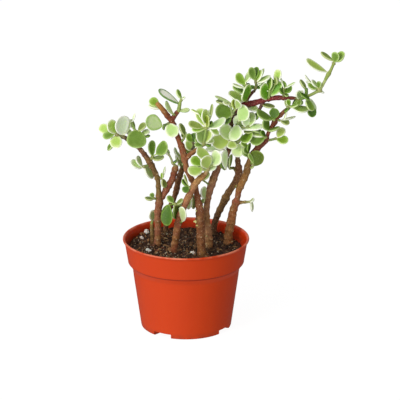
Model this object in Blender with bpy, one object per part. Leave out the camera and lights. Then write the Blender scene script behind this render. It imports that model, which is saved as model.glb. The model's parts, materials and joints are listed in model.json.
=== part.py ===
"""A variegated elephant bush in a four-inch nursery pot.

Eight woody stems stand in a lumpy potting mix and carry short green shoots with
pairs of round, fleshy leaves; one long young shoot leans out to the right.
Metres, +Z up. The origin is the middle of the pot's flat foot, the front faces -Y.
"""

import math

import bmesh
import bpy
import numpy as np
from mathutils.bvhtree import BVHTree

# --- shape tables ------------------------------------------------------------
# All lengths are millimetres here. The plant is set out as it is seen from one
# station in front of the pot and above it: a point is (across, down, y), where
# across and down are counts of 1/2000 of the viewing distance and y is the
# distance behind the pot's axis (negative towards the viewer).
STATION = (11.93, -1611.7, 643.4)
LOOK_DOWN = math.radians(18.25)
SIGHT = 2000.0
MIDDLE = 200.0

POT_HEIGHT = 78.5
LIP_R = 54.0
LIP_H = 2.4
COLLAR_TOP_R = 52.3
COLLAR_LOW_R = 49.7
COLLAR_LOW_Z = 58.1
STEP_R = 45.7
STEP_Z = 51.5
FOOT_R = 38.9
WALL = 1.3
FLOOR = 1.6
NOTCH_ANGLES = (-31.5, 58.5, 148.5, 238.5)
NOTCH_WIDE = 25.0
NOTCH_HIGH = 3.8
NOTCH_DEEP = 9.0
SOIL_Z = 67.5
STEM_BURIED = 11.0
GAP = 0.3
LEAF_THICK = 2.0

# woody stems: each is a list of tubes, each tube a list of (across, down, y, radius)
STEMS = {
    "stem_left": [
        [(157.5, 246, 7.5, 2.7), (158.0, 230, 7, 2.9), (157.9, 220, 7, 3.0), (158.3, 210, 6.5, 3.0), (159.3, 203, 6, 3.2),
         (159.0, 196, 5.5, 2.6), (158.4, 188, 5, 2.1), (157.9, 180, 3, 2.1), (153.9, 170, 1, 2.3), (149.0, 161, -1, 2.4),
         (144.8, 155, -2.5, 2.0), (140.5, 149.6, -4, 1.9), (132, 142.5, -6, 1.9), (127.5, 139.2, -7, 1.8), (123.9, 137.0, -8, 1.6)],
        [(159.8, 200, 6.5, 2.5), (163.5, 194.6, 7, 2.4), (166.3, 189.6, 7.5, 2.6), (168.9, 184.8, 8, 2.9), (172.0, 180, 8, 2.6),
         (174.1, 173, 7.5, 2.7), (175.3, 168.5, 7, 2.7), (176.3, 164.8, 6.5, 1.9)],
    ],
    "stem_left_thin": [
        [(152.8, 245, 12.5, 1.9), (152.3, 234, 12, 1.8), (151.8, 222.5, 11.5, 1.5)],
    ],
    "stem_back_left": [
        [(165.3, 232, 38, 2.2), (167.0, 220, 36.5, 2.2), (170.5, 206, 34, 2.2), (174.7, 196, 30, 2.3), (176.4, 190, 28, 2.5),
         (178.0, 182, 25, 2.4), (180.2, 175, 22, 2.4), (182.3, 167.4, 18, 2.0)],
    ],
    "stem_centre_left": [
        [(173.6, 252, -6.5, 3.0), (174.6, 244, -7.5, 2.8), (176.3, 235, -8.5, 2.8), (177.7, 226, -9.5, 2.8), (179.6, 217, -10.5, 2.7),
         (184.0, 206.5, -12, 2.7), (186.8, 200, -13, 2.9), (189.4, 195, -13.5, 2.7), (192.4, 188.6, -14, 2.8), (196.6, 182.4, -14.5, 2.6),
         (201.4, 177, -15, 2.5), (205.2, 173.6, -15, 2.4)],
    ],
    "stem_main": [
        [(202.0, 256, -15, 3.7), (201.2, 246, -14.5, 3.5), (200.6, 234, -13, 3.5), (200.2, 222, -11, 3.6), (199.9, 210, -9, 3.3),
         (197.8, 200, -7, 2.7), (196.4, 192, -6, 2.4), (194.8, 185, -5, 2.5), (191.6, 179.5, -4.5, 2.3), (188.8, 174.5, -4, 2.2),
         (186.7, 169, -4, 2.4), (185.4, 163, -3.5, 2.4), (184.4, 158, -3.5, 2.7), (182.8, 151, -3, 2.6), (180.9, 145, -3, 2.6),
         (178.9, 140, -3, 2.4), (177.3, 135.5, -3, 2.1), (174.6, 127.5, -3, 2.0), (171.8, 121, -3, 2.2), (168.2, 117, -3, 2.2),
         (164.6, 112, -4, 2.2), (160.6, 107, -5, 2.1), (156.9, 103.2, -6, 1.9)],
        [(171.8, 121, -3, 2.0), (174.4, 116, -2, 1.8), (176.9, 112.6, -1, 1.9), (178.4, 110.6, -1, 1.7)],
        [(171.2, 120.6, -3, 1.5), (174.4, 123.2, -3, 1.1), (176.5, 125.0, -3, 0.8)],
        [(185.6, 159.5, -3.5, 1.9), (189.8, 154.8, -5, 1.9), (194.6, 151.2, -7, 1.7), (198.2, 148.4, -8.5, 1.5)],
    ],
    "stem_centre": [
        [(208.8, 247, 6.5, 3.1), (208.4, 236, 6.5, 3.1), (207.6, 226, 6.5, 2.8), (206.9, 216, 6.5, 2.5), (206.8, 206, 6.5, 2.5),
         (208.0, 197, 6.5, 2.8), (209.9, 189.5, 7, 3.0), (212.7, 181, 7.5, 3.0), (214.7, 175.5, 8, 3.0), (216.5, 171, 8, 2.9),
         (221.0, 161.5, 9, 2.6), (227.6, 152.5, 10, 2.3), (230.8, 141, 10, 2.2), (230.9, 127, 9, 2.2), (232.6, 118, 8, 2.2),
         (235.5, 111.2, 7, 1.9), (239.6, 106, 6, 1.8), (245.0, 104.2, 5, 2.2), (250.5, 103.6, 5, 2.4), (256.2, 102.4, 4.5, 2.3),
         (262.0, 100.6, 4, 2.2), (268.0, 98.8, 3.5, 2.2), (275.0, 97.9, 3, 2.2), (283.0, 97.8, 2, 2.0), (290.0, 98.0, 1, 1.6),
         (295.8, 98.2, 0, 1.3)],
        [(245.6, 104.0, 5, 1.6), (246.8, 99.8, 5, 1.5), (250.4, 94.6, 4, 1.4), (254.4, 90.6, 3, 1.2)],
        [(264.2, 100.2, 4, 1.7), (262.6, 103.4, 3.4, 1.5)],
    ],
    "stem_right": [
        [(228.0, 244, 16.5, 3.9), (228.6, 234, 15.5, 3.5), (230.2, 226, 14.5, 3.4), (231.6, 219, 14, 3.6), (233.2, 211, 13, 3.3),
         (235.0, 205.5, 12, 3.1), (236.2, 201.6, 11.5, 3.5), (237.5, 197.6, 11, 2.3), (238.7, 190.6, 10, 2.7), (241.2, 185, 9.5, 2.8),
         (243.7, 179.6, 9, 2.8), (245.8, 174.6, 8, 2.6), (247.8, 167.4, 7, 3.0), (249.6, 160.5, 6, 2.2), (252.6, 154.4, 5, 2.5),
         (257.0, 148.9, 4, 2.6), (262.0, 144.2, 3, 2.3), (265.9, 140.8, 2.5, 2.1), (267.2, 136.4, 2, 1.6), (268.7, 132.2, 2, 1.5),
         (271.2, 128, 1.5, 1.6), (274.5, 122.4, 1, 2.5), (277.0, 117.8, 1, 1.7), (280.6, 115, 0.5, 1.8), (284.2, 111.5, 0, 1.7),
         (288.4, 108.2, 0, 1.4), (291.6, 105.6, -0.5, 1.1)],
        [(237.0, 202.6, 11.5, 1.4), (243.0, 202.2, 10.5, 1.3), (247.6, 201.9, 9.5, 1.2)],
    ],
    "stem_back_right": [
        [(213.3, 234, 35.5, 2.9), (214.5, 224, 35, 2.7), (217.6, 215, 34, 2.6), (222.0, 205.5, 32, 2.7), (225.4, 198.6, 30, 3.3),
         (227.4, 194.4, 29, 2.9), (232.2, 187, 26.5, 2.8), (235.6, 181.5, 24.5, 3.0), (238.4, 175.5, 22.5, 3.2), (238.8, 169, 21, 2.7),
         (238.0, 163, 19.5, 2.3), (237.6, 158, 18, 2.1)],
        [(238.0, 172.5, 22, 1.5), (234.8, 169.4, 20, 1.2), (232.4, 167.6, 18, 1.1)],
    ],
}

# green shoots with their leaves. "twigs" are tubes as above; a leaf is
# (foot across, foot down, tip across, tip down, apparent width, tip set back, tone)
# with an eighth entry where its width is not the usual share of its length.
SHOOTS = {
    "shoot_far_left": {
        "twigs": [[(124.6, 137.4, -8, 1.6), (119.5, 135.7, -9, 1.4), (115.2, 133.6, -10, 1.3)]],
        "leaves": [(122.6, 135.0, 121.8, 115.8, 14.2, -3, "W"), (124.4, 134.4, 126.6, 117.0, 8.0, 2, "W", 0.6), (116.4, 132.8, 108.4, 121.0, 10.8, -6, "M", 0.7),
                   (117.2, 135.2, 115.4, 148.4, 12.2, -6, "P"), (113.2, 131.8, 99.0, 126.8, 10.6, 5, "P", 0.6),
                   (114.6, 133.8, 102.6, 137.0, 7.8, -3, "M", 0.6), (114.2, 143.2, 107.5, 149.2, 4.4, 5, "G", 0.6)],
    },
    "shoot_left_big": {
        "twigs": [[(132.4, 142.8, -6, 1.3), (134.2, 137, -5, 1.2), (136.2, 131.6, -4, 1.1)],
                  [(136.0, 132.2, -4, 0.9), (133.2, 126, -3, 0.8), (131.4, 121.8, -2, 0.7)],
                  [(135.6, 133.4, -4, 0.9), (140.4, 134.6, -3, 0.8), (143.4, 136.4, -3, 0.7)]],
        "leaves": [(136.0, 130.0, 136.6, 148.4, 19.6, -9, "H"), (138.6, 131.2, 145.4, 122.8, 5.6, 3, "O"),
                   (134.6, 130.0, 131.2, 119.4, 4.0, 3, "O", 0.5), (131.4, 122.6, 135.3, 112.7, 2.2, 1, "O", 0.3),
                   (132.6, 136.0, 126.2, 128.6, 5.2, 5, "O", 0.6),
                   (141.4, 134.4, 149.5, 130.6, 5.6, 2, "P"), (142.8, 136.4, 150.4, 135.8, 2.0, 1, "D")],
    },
    "shoot_left_upper": {
        "twigs": [[(149.6, 161.0, -1, 1.4), (152.3, 157.2, -2, 1.2), (153.2, 155.2, -2.5, 1.0)]],
        "leaves": [(156.4, 154.2, 167.0, 142.8, 11.4, -4, "H", 0.74), (152.4, 156.4, 151.3, 140.2, 7.4, 1, "D", 0.6),
                   (152.6, 158.4, 164.1, 158.0, 5.0, -3, "O")],
    },
    "shoot_left_lower": {
        "twigs": [[(150.6, 164.6, 0, 1.3), (146.0, 165.8, -1, 1.1), (142.4, 167.3, -2, 0.9)]],
        "leaves": [(144.2, 166.6, 153.6, 176.6, 7.8, 8, "T", 0.6), (142.0, 168.0, 130.4, 161.7, 6.8, -2, "P"),
                   (142.0, 167.0, 137.1, 155.8, 4.8, 2, "P")],
    },
    "shoot_left_tiny": {
        "twigs": [[(158.4, 178.0, 3, 1.0), (162.0, 178.5, 2, 0.8)]],
        "leaves": [(162.2, 179.0, 165.9, 187.4, 5.0, 1, "D"), (161.8, 178.3, 162.8, 173.0, 3.0, -1, "G"),
                   (162.4, 177.4, 165.4, 166.3, 2.0, 2, "P", 0.3)],
    },
    "shoot_left_dark": {
        "twigs": [[(158.6, 199.8, 6, 1.2), (155.0, 198.6, 4.5, 1.0), (152.4, 198.0, 3.5, 0.9)]],
        "leaves": [(154.0, 198.4, 144.8, 198.6, 3.4, -2, "D"), (153.0, 197.8, 151.4, 192.8, 5.0, 2, "D")],
    },
    "shoot_left_base": {
        "twigs": [[(151.8, 223.6, 11.5, 1.3), (152.6, 219.8, 11, 1.1)]],
        "leaves": [(152.6, 220.4, 151.8, 210.0, 8.0, -2, "P")],
    },
    "shoot_low": {
        "twigs": [[(184.6, 206.2, -12, 1.2), (178.6, 205.0, -13, 1.1), (173.6, 204.0, -14, 1.1)]],
        "leaves": [(169.2, 204.8, 166.6, 225.6, 11.2, -4, "D", 0.66), (174.6, 205.0, 177.0, 216.8, 8.6, 2, "D"),
                   (167.0, 205.2, 162.6, 217.6, 6.0, 4, "D", 0.6),
                   (172.8, 203.2, 168.0, 195.6, 6.0, 4, "D"), (176.6, 204.2, 183.4, 199.4, 4.0, 3, "O")],
    },
    "leaf_low_pale": {
        "twigs": [[(179.4, 222.6, -10, 1.1), (182.6, 221.4, -15.5, 0.9)]],
        "leaves": [(182.5, 221.6, 183.8, 207.4, 7.4, -7, "C", 0.6)],
    },
    "shoot_crossing": {
        "twigs": [[(192.0, 189.6, -14, 1.1), (188.6, 187.0, -16.5, 0.9)]],
        "leaves": [(188.8, 187.4, 182.5, 191.2, 7.0, -2, "D"), (188.0, 186.6, 182.0, 179.2, 3.4, 2, "D"),
                   (188.0, 185.0, 184.2, 174.3, 2.4, 4, "P", 0.3)],
    },
    "shoot_between": {
        "twigs": [[(197.6, 199.6, -7, 1.1), (192.8, 198.6, -4, 0.9)]],
        "leaves": [(192.0, 199.4, 187.2, 208.0, 6.0, 3, "P"), (192.8, 199.0, 194.8, 207.6, 5.0, 4, "D"),
                   (193.0, 198.8, 190.8, 194.2, 2.8, 1, "P")],
    },
    "shoot_centre_low": {
        "twigs": [[(208.0, 198.6, 6.5, 1.1), (204.6, 197.8, 4, 0.9)]],
        "leaves": [(204.8, 197.8, 201.8, 187.8, 6.6, 1, "O"), (204.6, 198.6, 201.4, 203.4, 3.6, 0, "O")],
    },
    "shoot_centre_thin": {
        "twigs": [[(211.0, 186.6, 7, 0.9), (206.6, 182.8, 4, 0.8), (202.6, 180.0, 1, 0.7)]],
        "leaves": [(203.4, 180.4, 208.2, 171.8, 5.8, 4, "O")],
    },
    "shoot_second_tip": {
        "twigs": [[(176.2, 166.2, 6.5, 1.3), (172.9, 163.4, 5, 1.1), (171.2, 158.8, 4, 0.9), (168.3, 153.4, 3, 0.8)]],
        "leaves": [(168.6, 155.6, 166.2, 148.6, 3.6, 1, "P"), (172.8, 163.0, 177.2, 161.2, 1.8, -1, "D")],
    },
    "shoot_back_left": {
        "twigs": [[(182.4, 168.4, 18.5, 1.6), (181.0, 164.6, 13, 1.3), (179.2, 159.6, 9, 1.0)]],
        "leaves": [(179.6, 163.2, 176.0, 152.4, 5.0, -1, "M"), (181.4, 166.0, 179.6, 160.8, 3.4, -3, "Y"),
                   (178.8, 157.6, 174.2, 147.5, 2.4, 1, "O"), (180.4, 163.0, 181.2, 157.6, 2.0, -2, "Y")],
    },
    "shoot_main_right": {
        "twigs": [[(180.0, 142.0, -3, 1.3), (183.6, 138.8, -5, 1.0), (184.5, 135.0, -5, 0.8)]],
        "leaves": [(184.0, 138.2, 184.3, 131.4, 4.0, -2, "G"), (184.6, 135.6, 179.2, 123.5, 4.6, 2, "O")],
    },
    "shoot_main_left": {
        "twigs": [[(171.6, 122.0, -3, 1.2), (167.6, 123.8, -5, 1.0), (163.0, 126.2, -6, 1.2)]],
        "leaves": [(162.0, 126.4, 145.6, 119.6, 15.4, -4, "P"), (168.1, 123.8, 175.6, 136.8, 13.2, -6, "P"),
                   (163.2, 125.8, 164.4, 128.8, 3.0, -2, "D")],
    },
    "shoot_cut_end": {
        "twigs": [[(162.4, 110.2, -4.4, 1.2), (159.4, 106.8, -0.5, 1.0)]],
        "leaves": [(158.8, 105.6, 149.6, 99.2, 9.0, 2, "G"), (160.0, 109.0, 148.2, 105.4, 3.6, 0, "C", 0.5)],
    },
    "shoot_main_top": {
        "twigs": [[(178.8, 110.2, -1, 1.7), (179.4, 106.2, -1.5, 1.5), (180.2, 102.4, -2, 1.2), (181.9, 98.8, -2.5, 0.9)]],
        "leaves": [(179.5, 104.2, 158.2, 90.0, 7.6, -3, "V", 0.5), (179.5, 110.8, 189.8, 110.3, 5.2, -2, "E"),
                   (181.4, 98.8, 176.7, 89.4, 3.4, 1, "G"), (182.0, 99.2, 185.5, 97.0, 2.0, 1, "P")],
    },
    "leaf_main_fork": {
        "twigs": [[(175.6, 115.2, -1.8, 1.0), (173.0, 114.2, -4.5, 0.9)]],
        "leaves": [(173.6, 114.8, 165.5, 101.1, 5.2, -2, "E", 0.6)],
    },
    "shoot_side": {
        "twigs": [[(190.6, 153.8, -5, 1.1), (191.0, 150.6, -4, 0.9), (194.0, 146.0, -3, 0.9), (192.4, 141.6, -3, 0.8)]],
        "leaves": [(190.4, 150.6, 186.8, 139.8, 8.2, -3, "M"), (192.8, 142.2, 195.2, 133.0, 8.6, 3, "D"),
                   (192.0, 141.4, 186.0, 135.0, 7.0, 1, "G")],
    },
    "shoot_rosette": {
        "twigs": [[(198.6, 148.2, -8.6, 1.5), (202.8, 144.6, -10, 1.3), (204.2, 140.2, -11.5, 1.2), (205.4, 133, -12.5, 1.2), (206.5, 126.4, -13, 1.0)]],
        "leaves": [(204.0, 144.6, 199.0, 127.4, 11.6, -3, "M"), (204.2, 126.0, 198.8, 108.2, 11.2, 5, "M", 0.62),
                   (205.0, 143.4, 210.6, 129.6, 7.0, -1, "T", 0.5), (208.4, 127.2, 225.9, 120.6, 7.8, -5, "W"),
                   (203.2, 144.3, 196.2, 137.4, 8.2, 5, "T"), (206.5, 126.2, 209.0, 116.9, 7.2, -5, "Y"),
                   (205.4, 123.4, 203.8, 109.2, 6.6, 0, "M"), (203.2, 127.6, 188.2, 123.0, 7.4, -2, "P", 0.5),
                   (206.8, 124.0, 208.9, 110.2, 6.0, 8, "P"), (204.2, 129.4, 191.6, 130.0, 4.8, -3, "Y", 0.5),
                   (209.0, 127.8, 219.0, 133.8, 6.0, 4, "O", 0.6), (204.2, 144.0, 211.2, 144.2, 4.6, 3, "T"),
                   (207.6, 126.8, 212.7, 121.4, 3.2, 0, "D"),
                   (198.8, 114.4, 190.8, 109.4, 2.8, 6, "D", 0.4), (211.0, 117.0, 212.2, 103.8, 2.8, 8, "O", 0.3),
                   (203.8, 145.0, 194.4, 145.6, 4.6, 3, "T", 0.5), (207.2, 143.4, 213.4, 139.4, 6.0, 7, "T", 0.6)],
    },
    "shoot_top_left": {
        "twigs": [[(235.0, 113.2, 7, 1.4), (232.3, 112.8, 3, 1.2), (230.3, 105.4, 1.5, 1.0), (229.7, 102.4, 1, 0.8)],
                  [(232.5, 112.8, 3, 1.1), (231.1, 117.8, 2, 0.9)], [(232.5, 112.6, 3, 1.1), (236.0, 108.4, 2, 0.9)]],
        "leaves": [(232.0, 114.0, 215.3, 110.0, 15.4, -5, "H"), (234.6, 108.8, 233.4, 99.0, 6.6, -3, "Y"),
                   (236.2, 108.6, 239.0, 101.0, 6.0, -2, "P"), (231.0, 117.8, 225.2, 124.0, 4.4, -1, "D"),
                   (230.0, 104.8, 222.6, 102.0, 3.2, 3, "C", 0.5), (229.8, 104.6, 216.1, 100.7, 3.6, 5, "O"),
                   (229.8, 102.4, 214.7, 96.1, 1.8, 0, "E", 0.3)],
    },
    "shoot_crest_left": {
        "twigs": [[(246.6, 101.6, 5, 1.4), (244.9, 96.0, 2, 1.1), (245.5, 89.0, 1, 0.9), (246.3, 84.0, 1, 0.8)]],
        "leaves": [(246.4, 99.8, 245.6, 86.2, 10.2, -9, "N", 0.72), (244.6, 101.2, 227.9, 93.6, 8.0, -2, "H"),
                   (244.0, 93.2, 232.8, 85.6, 6.4, 2, "H"), (243.8, 88.0, 232.2, 83.8, 2.4, 5, "C", 0.4), (245.2, 84.8, 235.9, 73.8, 8.4, -1, "M", 0.65),
                   (245.6, 82.6, 249.2, 71.4, 5.4, 4, "P"), (246.2, 87.4, 243.6, 81.8, 5.0, -3, "D"),
                   (246.4, 85.8, 250.0, 83.8, 2.8, 1, "D")],
    },
    "shoot_crest_fan": {
        "twigs": [[(254.5, 90.5, 3, 1.1), (256.0, 86.4, 2, 1.1), (255.5, 79.6, 1, 0.9)]],
        "leaves": [(254.6, 80.2, 249.9, 67.4, 7.6, -1, "D", 0.6), (255.4, 80.0, 256.6, 66.9, 6.4, 1, "D", 0.6),
                   (256.2, 82.4, 262.1, 69.6, 5.0, 4, "P"), (257.6, 82.6, 270.8, 76.0, 4.4, 1, "O"),
                   (256.4, 86.0, 266.8, 79.4, 2.2, -5, "C", 0.3), (255.8, 86.6, 243.0, 90.6, 1.6, -5, "C", 0.25),
                   (256.0, 88.0, 260.4, 85.4, 4.8, -2, "D"), (255.4, 87.6, 249.5, 86.8, 4.2, -1, "D"),
                   (256.6, 82.0, 263.9, 68.4, 2.0, 8, "O", 0.3)],
    },
    "shoot_crest_round": {
        "twigs": [[(268.6, 99.8, 3.5, 1.4), (269.0, 95.6, 1, 1.2), (269.6, 89.6, 0, 0.9)],
                  [(269.1, 95.4, 1, 0.9), (273.0, 89.0, 1, 0.8), (275.7, 82.8, 1, 0.7)]],
        "leaves": [(269.8, 96.4, 271.4, 79.0, 8.8, 1, "G", 0.5), (267.6, 99.8, 261.8, 84.6, 10.6, -8, "N", 0.66),
                   (271.4, 96.2, 280.6, 81.6, 10.0, -3, "N", 0.6), (275.8, 82.8, 279.0, 69.2, 7.2, 3, "M"),
                   (269.8, 89.6, 270.2, 77.0, 5.4, 4, "M"), (268.8, 91.6, 260.6, 82.8, 5.0, 6, "N"),
                   (275.3, 84.3, 276.9, 77.9, 4.0, -2, "O")],
    },
    "shoot_crest_right": {
        "twigs": [[(283.5, 98.4, 2, 1.4), (283.8, 93.0, 0, 1.1), (284.0, 87.8, -1, 0.8)]],
        "leaves": [(284.0, 92.2, 292.4, 88.0, 5.8, -3, "D"), (283.8, 92.6, 279.2, 89.7, 4.2, -2, "D"),
                   (284.0, 91.6, 281.6, 80.9, 3.6, 1, "G"), (284.0, 88.4, 280.6, 77.6, 1.6, 4, "P", 0.25),
                   (284.8, 88.2, 295.4, 82.2, 2.2, 2, "P", 0.3), (284.2, 94.0, 288.5, 96.4, 3.2, -2, "T")],
    },
    "shoot_end_left": {
        "twigs": [[(295.9, 98.4, 0, 1.3), (300.3, 98.9, -1, 1.1)]],
        "leaves": [(300.0, 98.8, 297.2, 91.0, 6.2, -4, "P", 0.7), (300.0, 99.2, 298.2, 106.2, 5.6, -3, "G"),
                   (300.6, 98.6, 301.4, 90.9, 3.0, 1, "M"), (300.4, 99.8, 302.0, 105.0, 3.0, 3, "P"),
                   (297.4, 99.2, 292.4, 106.2, 3.2, 4, "D")],
    },
    "shoot_end_node": {
        "twigs": [[(301.3, 98.8, -1, 1.2), (305.6, 97.0, -1.5, 1.5), (308.0, 96.0, -1.5, 1.4)],
                  [(305.6, 97.0, -1.5, 1.3), (306.4, 92.0, -1.5, 1.5), (306.1, 87.6, -1, 1.2)],
                  [(306.2, 97.0, -1.5, 1.1), (308.4, 100.6, -2, 1.0), (310.0, 106.4, -2.5, 0.9)]],
        "leaves": [(308.0, 96.4, 301.9, 95.8, 6.8, -5, "D"), (309.8, 108.2, 292.6, 108.2, 7.8, -6, "H"),
                   (307.8, 98.6, 309.9, 110.8, 6.8, -3, "G"), (309.8, 105.6, 313.4, 117.1, 8.6, -1, "D"),
                   (309.0, 98.8, 316.2, 109.6, 5.4, 7, "P", 0.5), (306.1, 88.8, 299.5, 80.1, 3.2, 0, "O")],
    },
    "shoot_long_low": {
        "twigs": [[(309.0, 95.6, -1.5, 1.3), (314.0, 93.2, -1.5, 1.3), (318.8, 90.1, -1.5, 1.6), (321.4, 86.9, -1.5, 1.4),
                   (324.0, 82.6, -1.5, 1.3), (326.0, 78.8, -1.5, 1.4)]],
        "leaves": [(317.2, 88.4, 307.4, 85.2, 5.0, -2, "G"), (318.8, 88.0, 320.0, 81.2, 4.8, 2, "T"),
                   (317.0, 87.6, 311.8, 79.8, 3.8, 3, "T"), (317.8, 88.8, 306.0, 81.2, 1.8, 6, "P", 0.3),
                   (318.4, 88.8, 304.8, 74.7, 1.3, 8, "C", 0.2), (319.4, 90.0, 322.8, 92.0, 1.5, -1, "P")],
    },
    "shoot_long_tip": {
        "twigs": [[(326.35, 78.1, -1.5, 1.4), (328.5, 74.2, -1.5, 1.7), (330.3, 71.2, -1.5, 1.3), (332.2, 67.0, -1.5, 1.2), (334.2, 62.2, -1.5, 1.1)]],
        "leaves": [(327.0, 72.2, 305.8, 59.4, 6.8, -2, "G", 0.4), (335.6, 61.4, 344.0, 52.0, 7.4, 2, "H", 0.7),
                   (334.2, 61.8, 337.0, 52.2, 8.0, -3, "H", 0.8), (333.2, 61.0, 320.6, 52.2, 4.0, 1, "O", 0.45),
                   (335.8, 61.8, 344.2, 56.6, 3.2, -3, "G", 0.5)],
    },
    "shoot_hanging": {
        "twigs": [[(262.8, 102.9, 3.4, 1.5), (259.4, 109.6, 2.6, 1.3), (258.0, 112.4, 2, 1.0)]],
        "leaves": [(262.2, 104.6, 274.8, 107.4, 4.2, -2, "P"), (258.6, 110.2, 248.8, 107.2, 6.2, 2, "O"),
                   (258.0, 112.0, 256.2, 120.0, 3.8, -1, "D")],
    },
    "shoot_right_upper": {
        "twigs": [[(274.5, 121.8, 1, 1.3), (273.6, 118.8, -2, 1.1)]],
        "leaves": [(273.6, 118.6, 274.6, 108.0, 10.0, 1, "D"), (273.2, 119.6, 256.2, 111.5, 7.4, -4, "D")],
    },
    "shoot_right_three": {
        "twigs": [[(269.8, 130.6, 1.8, 1.2), (268.3, 130.2, -2, 1.0)]],
        "leaves": [(268.6, 130.4, 264.2, 118.7, 7.6, -2, "D"), (268.9, 130.2, 278.9, 128.6, 3.2, -2, "O")],
    },
    "shoot_right_inner": {
        "twigs": [[(267.3, 137.6, 2, 1.2), (264.6, 137.0, -1, 1.0)]],
        "leaves": [(264.8, 138.0, 249.8, 141.0, 11.0, -1, "H"), (264.0, 136.6, 248.8, 131.9, 4.6, 3, "M", 0.5),
                   (265.2, 136.4, 260.2, 131.6, 4.6, -2, "D")],
    },
    "shoot_right_pair": {
        "twigs": [[(266.8, 140.2, 2.4, 1.3), (272.0, 139.6, 1, 1.1), (277.0, 138.2, 0, 1.0)]],
        "leaves": [(277.6, 137.6, 283.9, 127.8, 8.6, 3, "G"), (276.7, 139.1, 288.2, 141.7, 8.0, -4, "G")],
    },
    "shoot_right_thin": {
        "twigs": [[(276.4, 119.2, 1, 1.1), (280.6, 120.9, 0, 0.9)]],
        "leaves": [(280.4, 120.8, 289.5, 123.6, 5.2, -1, "O"), (280.6, 120.2, 295.9, 116.5, 1.7, 4, "P", 0.25)],
    },
    "shoot_right_tip": {
        "twigs": [[(288.4, 108.6, 0, 1.2), (289.0, 106.2, -3.5, 1.0), (286.8, 108.6, -4, 0.8)]],
        "leaves": [(289.0, 106.2, 287.4, 99.2, 4.8, 1, "G"), (289.2, 106.5, 298.0, 105.4, 2.6, -3, "W", 0.4),
                   (287.0, 109.4, 283.9, 120.4, 1.7, -1, "P", 0.25), (286.8, 107.6, 285.0, 99.5, 1.6, -1, "P", 0.25),
                   (287.4, 108.2, 285.8, 112.0, 3.0, 1, "Y")],
    },
    "shoot_right_round": {
        "twigs": [[(250.0, 162.0, 6.2, 1.4), (254.4, 165.2, 0, 1.1)]],
        "leaves": [(254.8, 165.8, 259.2, 150.9, 14.6, -3, "R"), (254.2, 164.8, 248.5, 153.4, 4.2, -3, "G", 0.4),
                   (253.8, 165.4, 250.8, 169.0, 1.9, -1, "P")],
    },
    "shoot_heart_top": {
        "twigs": [[(230.9, 131.4, 9.4, 1.6), (236.0, 128.2, 3, 1.3), (241.0, 127.2, 0, 1.1), (249.6, 126.6, -1, 0.9)],
                  [(235.8, 128.4, 3, 1.2), (238.9, 121.4, -2, 1.0)]],
        "leaves": [(238.9, 120.6, 246.2, 106.0, 13.2, -4, "P"), (249.4, 126.8, 252.2, 112.0, 9.8, 5, "P"),
                   (241.6, 129.4, 263.2, 126.2, 6.4, -6, "W", 0.42), (245.4, 127.4, 237.4, 119.4, 8.6, 7, "P"),
                   (246.6, 127.0, 244.4, 116.0, 8.6, 11, "P"), (237.0, 124.4, 233.6, 141.2, 12.2, -8, "W"), (235.4, 126.6, 237.4, 115.4, 6.8, 6, "P", 0.6),
                   (244.2, 132.4, 252.8, 129.4, 5.6, 9, "O", 0.7), (250.2, 128.6, 261.6, 131.6, 4.4, 4, "M", 0.5)],
    },
    "shoot_heart": {
        "twigs": [[(237.6, 158.8, 18.3, 1.9), (237.3, 150, 12, 1.6), (236.6, 142.6, 5, 1.4), (230.6, 141.3, 1, 1.1)],
                  [(236.7, 143.0, 5, 1.2), (240.7, 139.7, 2, 1.0)]],
        "leaves": [(228.6, 141.6, 211.5, 141.9, 15.0, -5, "M"),
                   (239.0, 143.6, 237.0, 157.2, 12.4, -3, "W"), (231.0, 140.2, 222.8, 124.6, 13.2, 1, "P"),
                   (240.2, 139.2, 253.0, 135.6, 9.8, -6, "G"), (231.4, 141.0, 233.0, 149.4, 10.4, -7, "M"), (224.4, 149.6, 206.4, 148.4, 6.4, 12, "P", 0.5)],
    },
    "shoot_right_low": {
        "twigs": [[(251.0, 157.8, 5.6, 1.2), (248.0, 156.6, 1.5, 1.0), (248.6, 151.4, 0, 0.8)]],
        "leaves": [(248.0, 156.8, 243.9, 146.6, 7.6, -2, "D"), (248.6, 152.0, 249.0, 143.2, 4.6, -1, "D"),
                   (248.2, 153.6, 243.2, 148.4, 4.6, 1, "D", 0.6), (248.4, 148.6, 240.6, 142.6, 5.0, 9, "D", 0.6)],
    },
    "shoot_front": {
        "twigs": [[(205.8, 173.2, -15, 2.0), (209.0, 166.4, -15, 1.4), (210.0, 158, -14, 1.1), (209.7, 155.0, -13.5, 0.9)],
                  [(207.4, 170.4, -15, 1.2), (202.6, 168.8, -15, 1.0), (200.3, 165.6, -14, 0.9)],
                  [(209.0, 166.6, -15, 1.1), (213.5, 166.0, -14, 1.0)]],
        "leaves": [(208.2, 168.4, 204.0, 156.2, 11.4, -9, "M"), (206.8, 170.4, 215.4, 163.6, 9.6, -6, "W"), (213.5, 165.6, 218.3, 150.9, 11.0, -3, "W"),
                   (209.4, 155.6, 195.9, 150.6, 11.0, -4, "M"), (202.4, 169.4, 187.8, 172.2, 10.8, -5, "M"),
                   (200.4, 165.4, 191.0, 157.8, 9.4, 1, "G"), (202.8, 169.0, 195.8, 165.2, 5.0, 4, "T")],
    },
    "shoot_centre_top": {
        "twigs": [[(220.2, 164.0, 8.6, 1.3), (222.6, 167.6, 5.5, 1.1), (225.6, 169.4, 3, 1.0)]],
        "leaves": [(226.0, 169.8, 225.0, 149.6, 6.8, 2, "W", 0.5), (224.4, 169.4, 221.6, 160.6, 5.2, -4, "D")],
    },
    "shoot_back_right": {
        "twigs": [[(232.8, 168.0, 18.3, 1.2), (229.2, 168.4, 15, 1.0)]],
        "leaves": [(229.4, 168.2, 229.9, 155.4, 4.8, -5, "G"), (229.4, 168.2, 223.4, 152.4, 6.4, 2, "W", 0.5)],
    },
    "shoot_right_withered": {
        "twigs": [[(247.3, 202.0, 9.5, 1.2), (251.5, 201.6, 9, 0.9)]],
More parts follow.
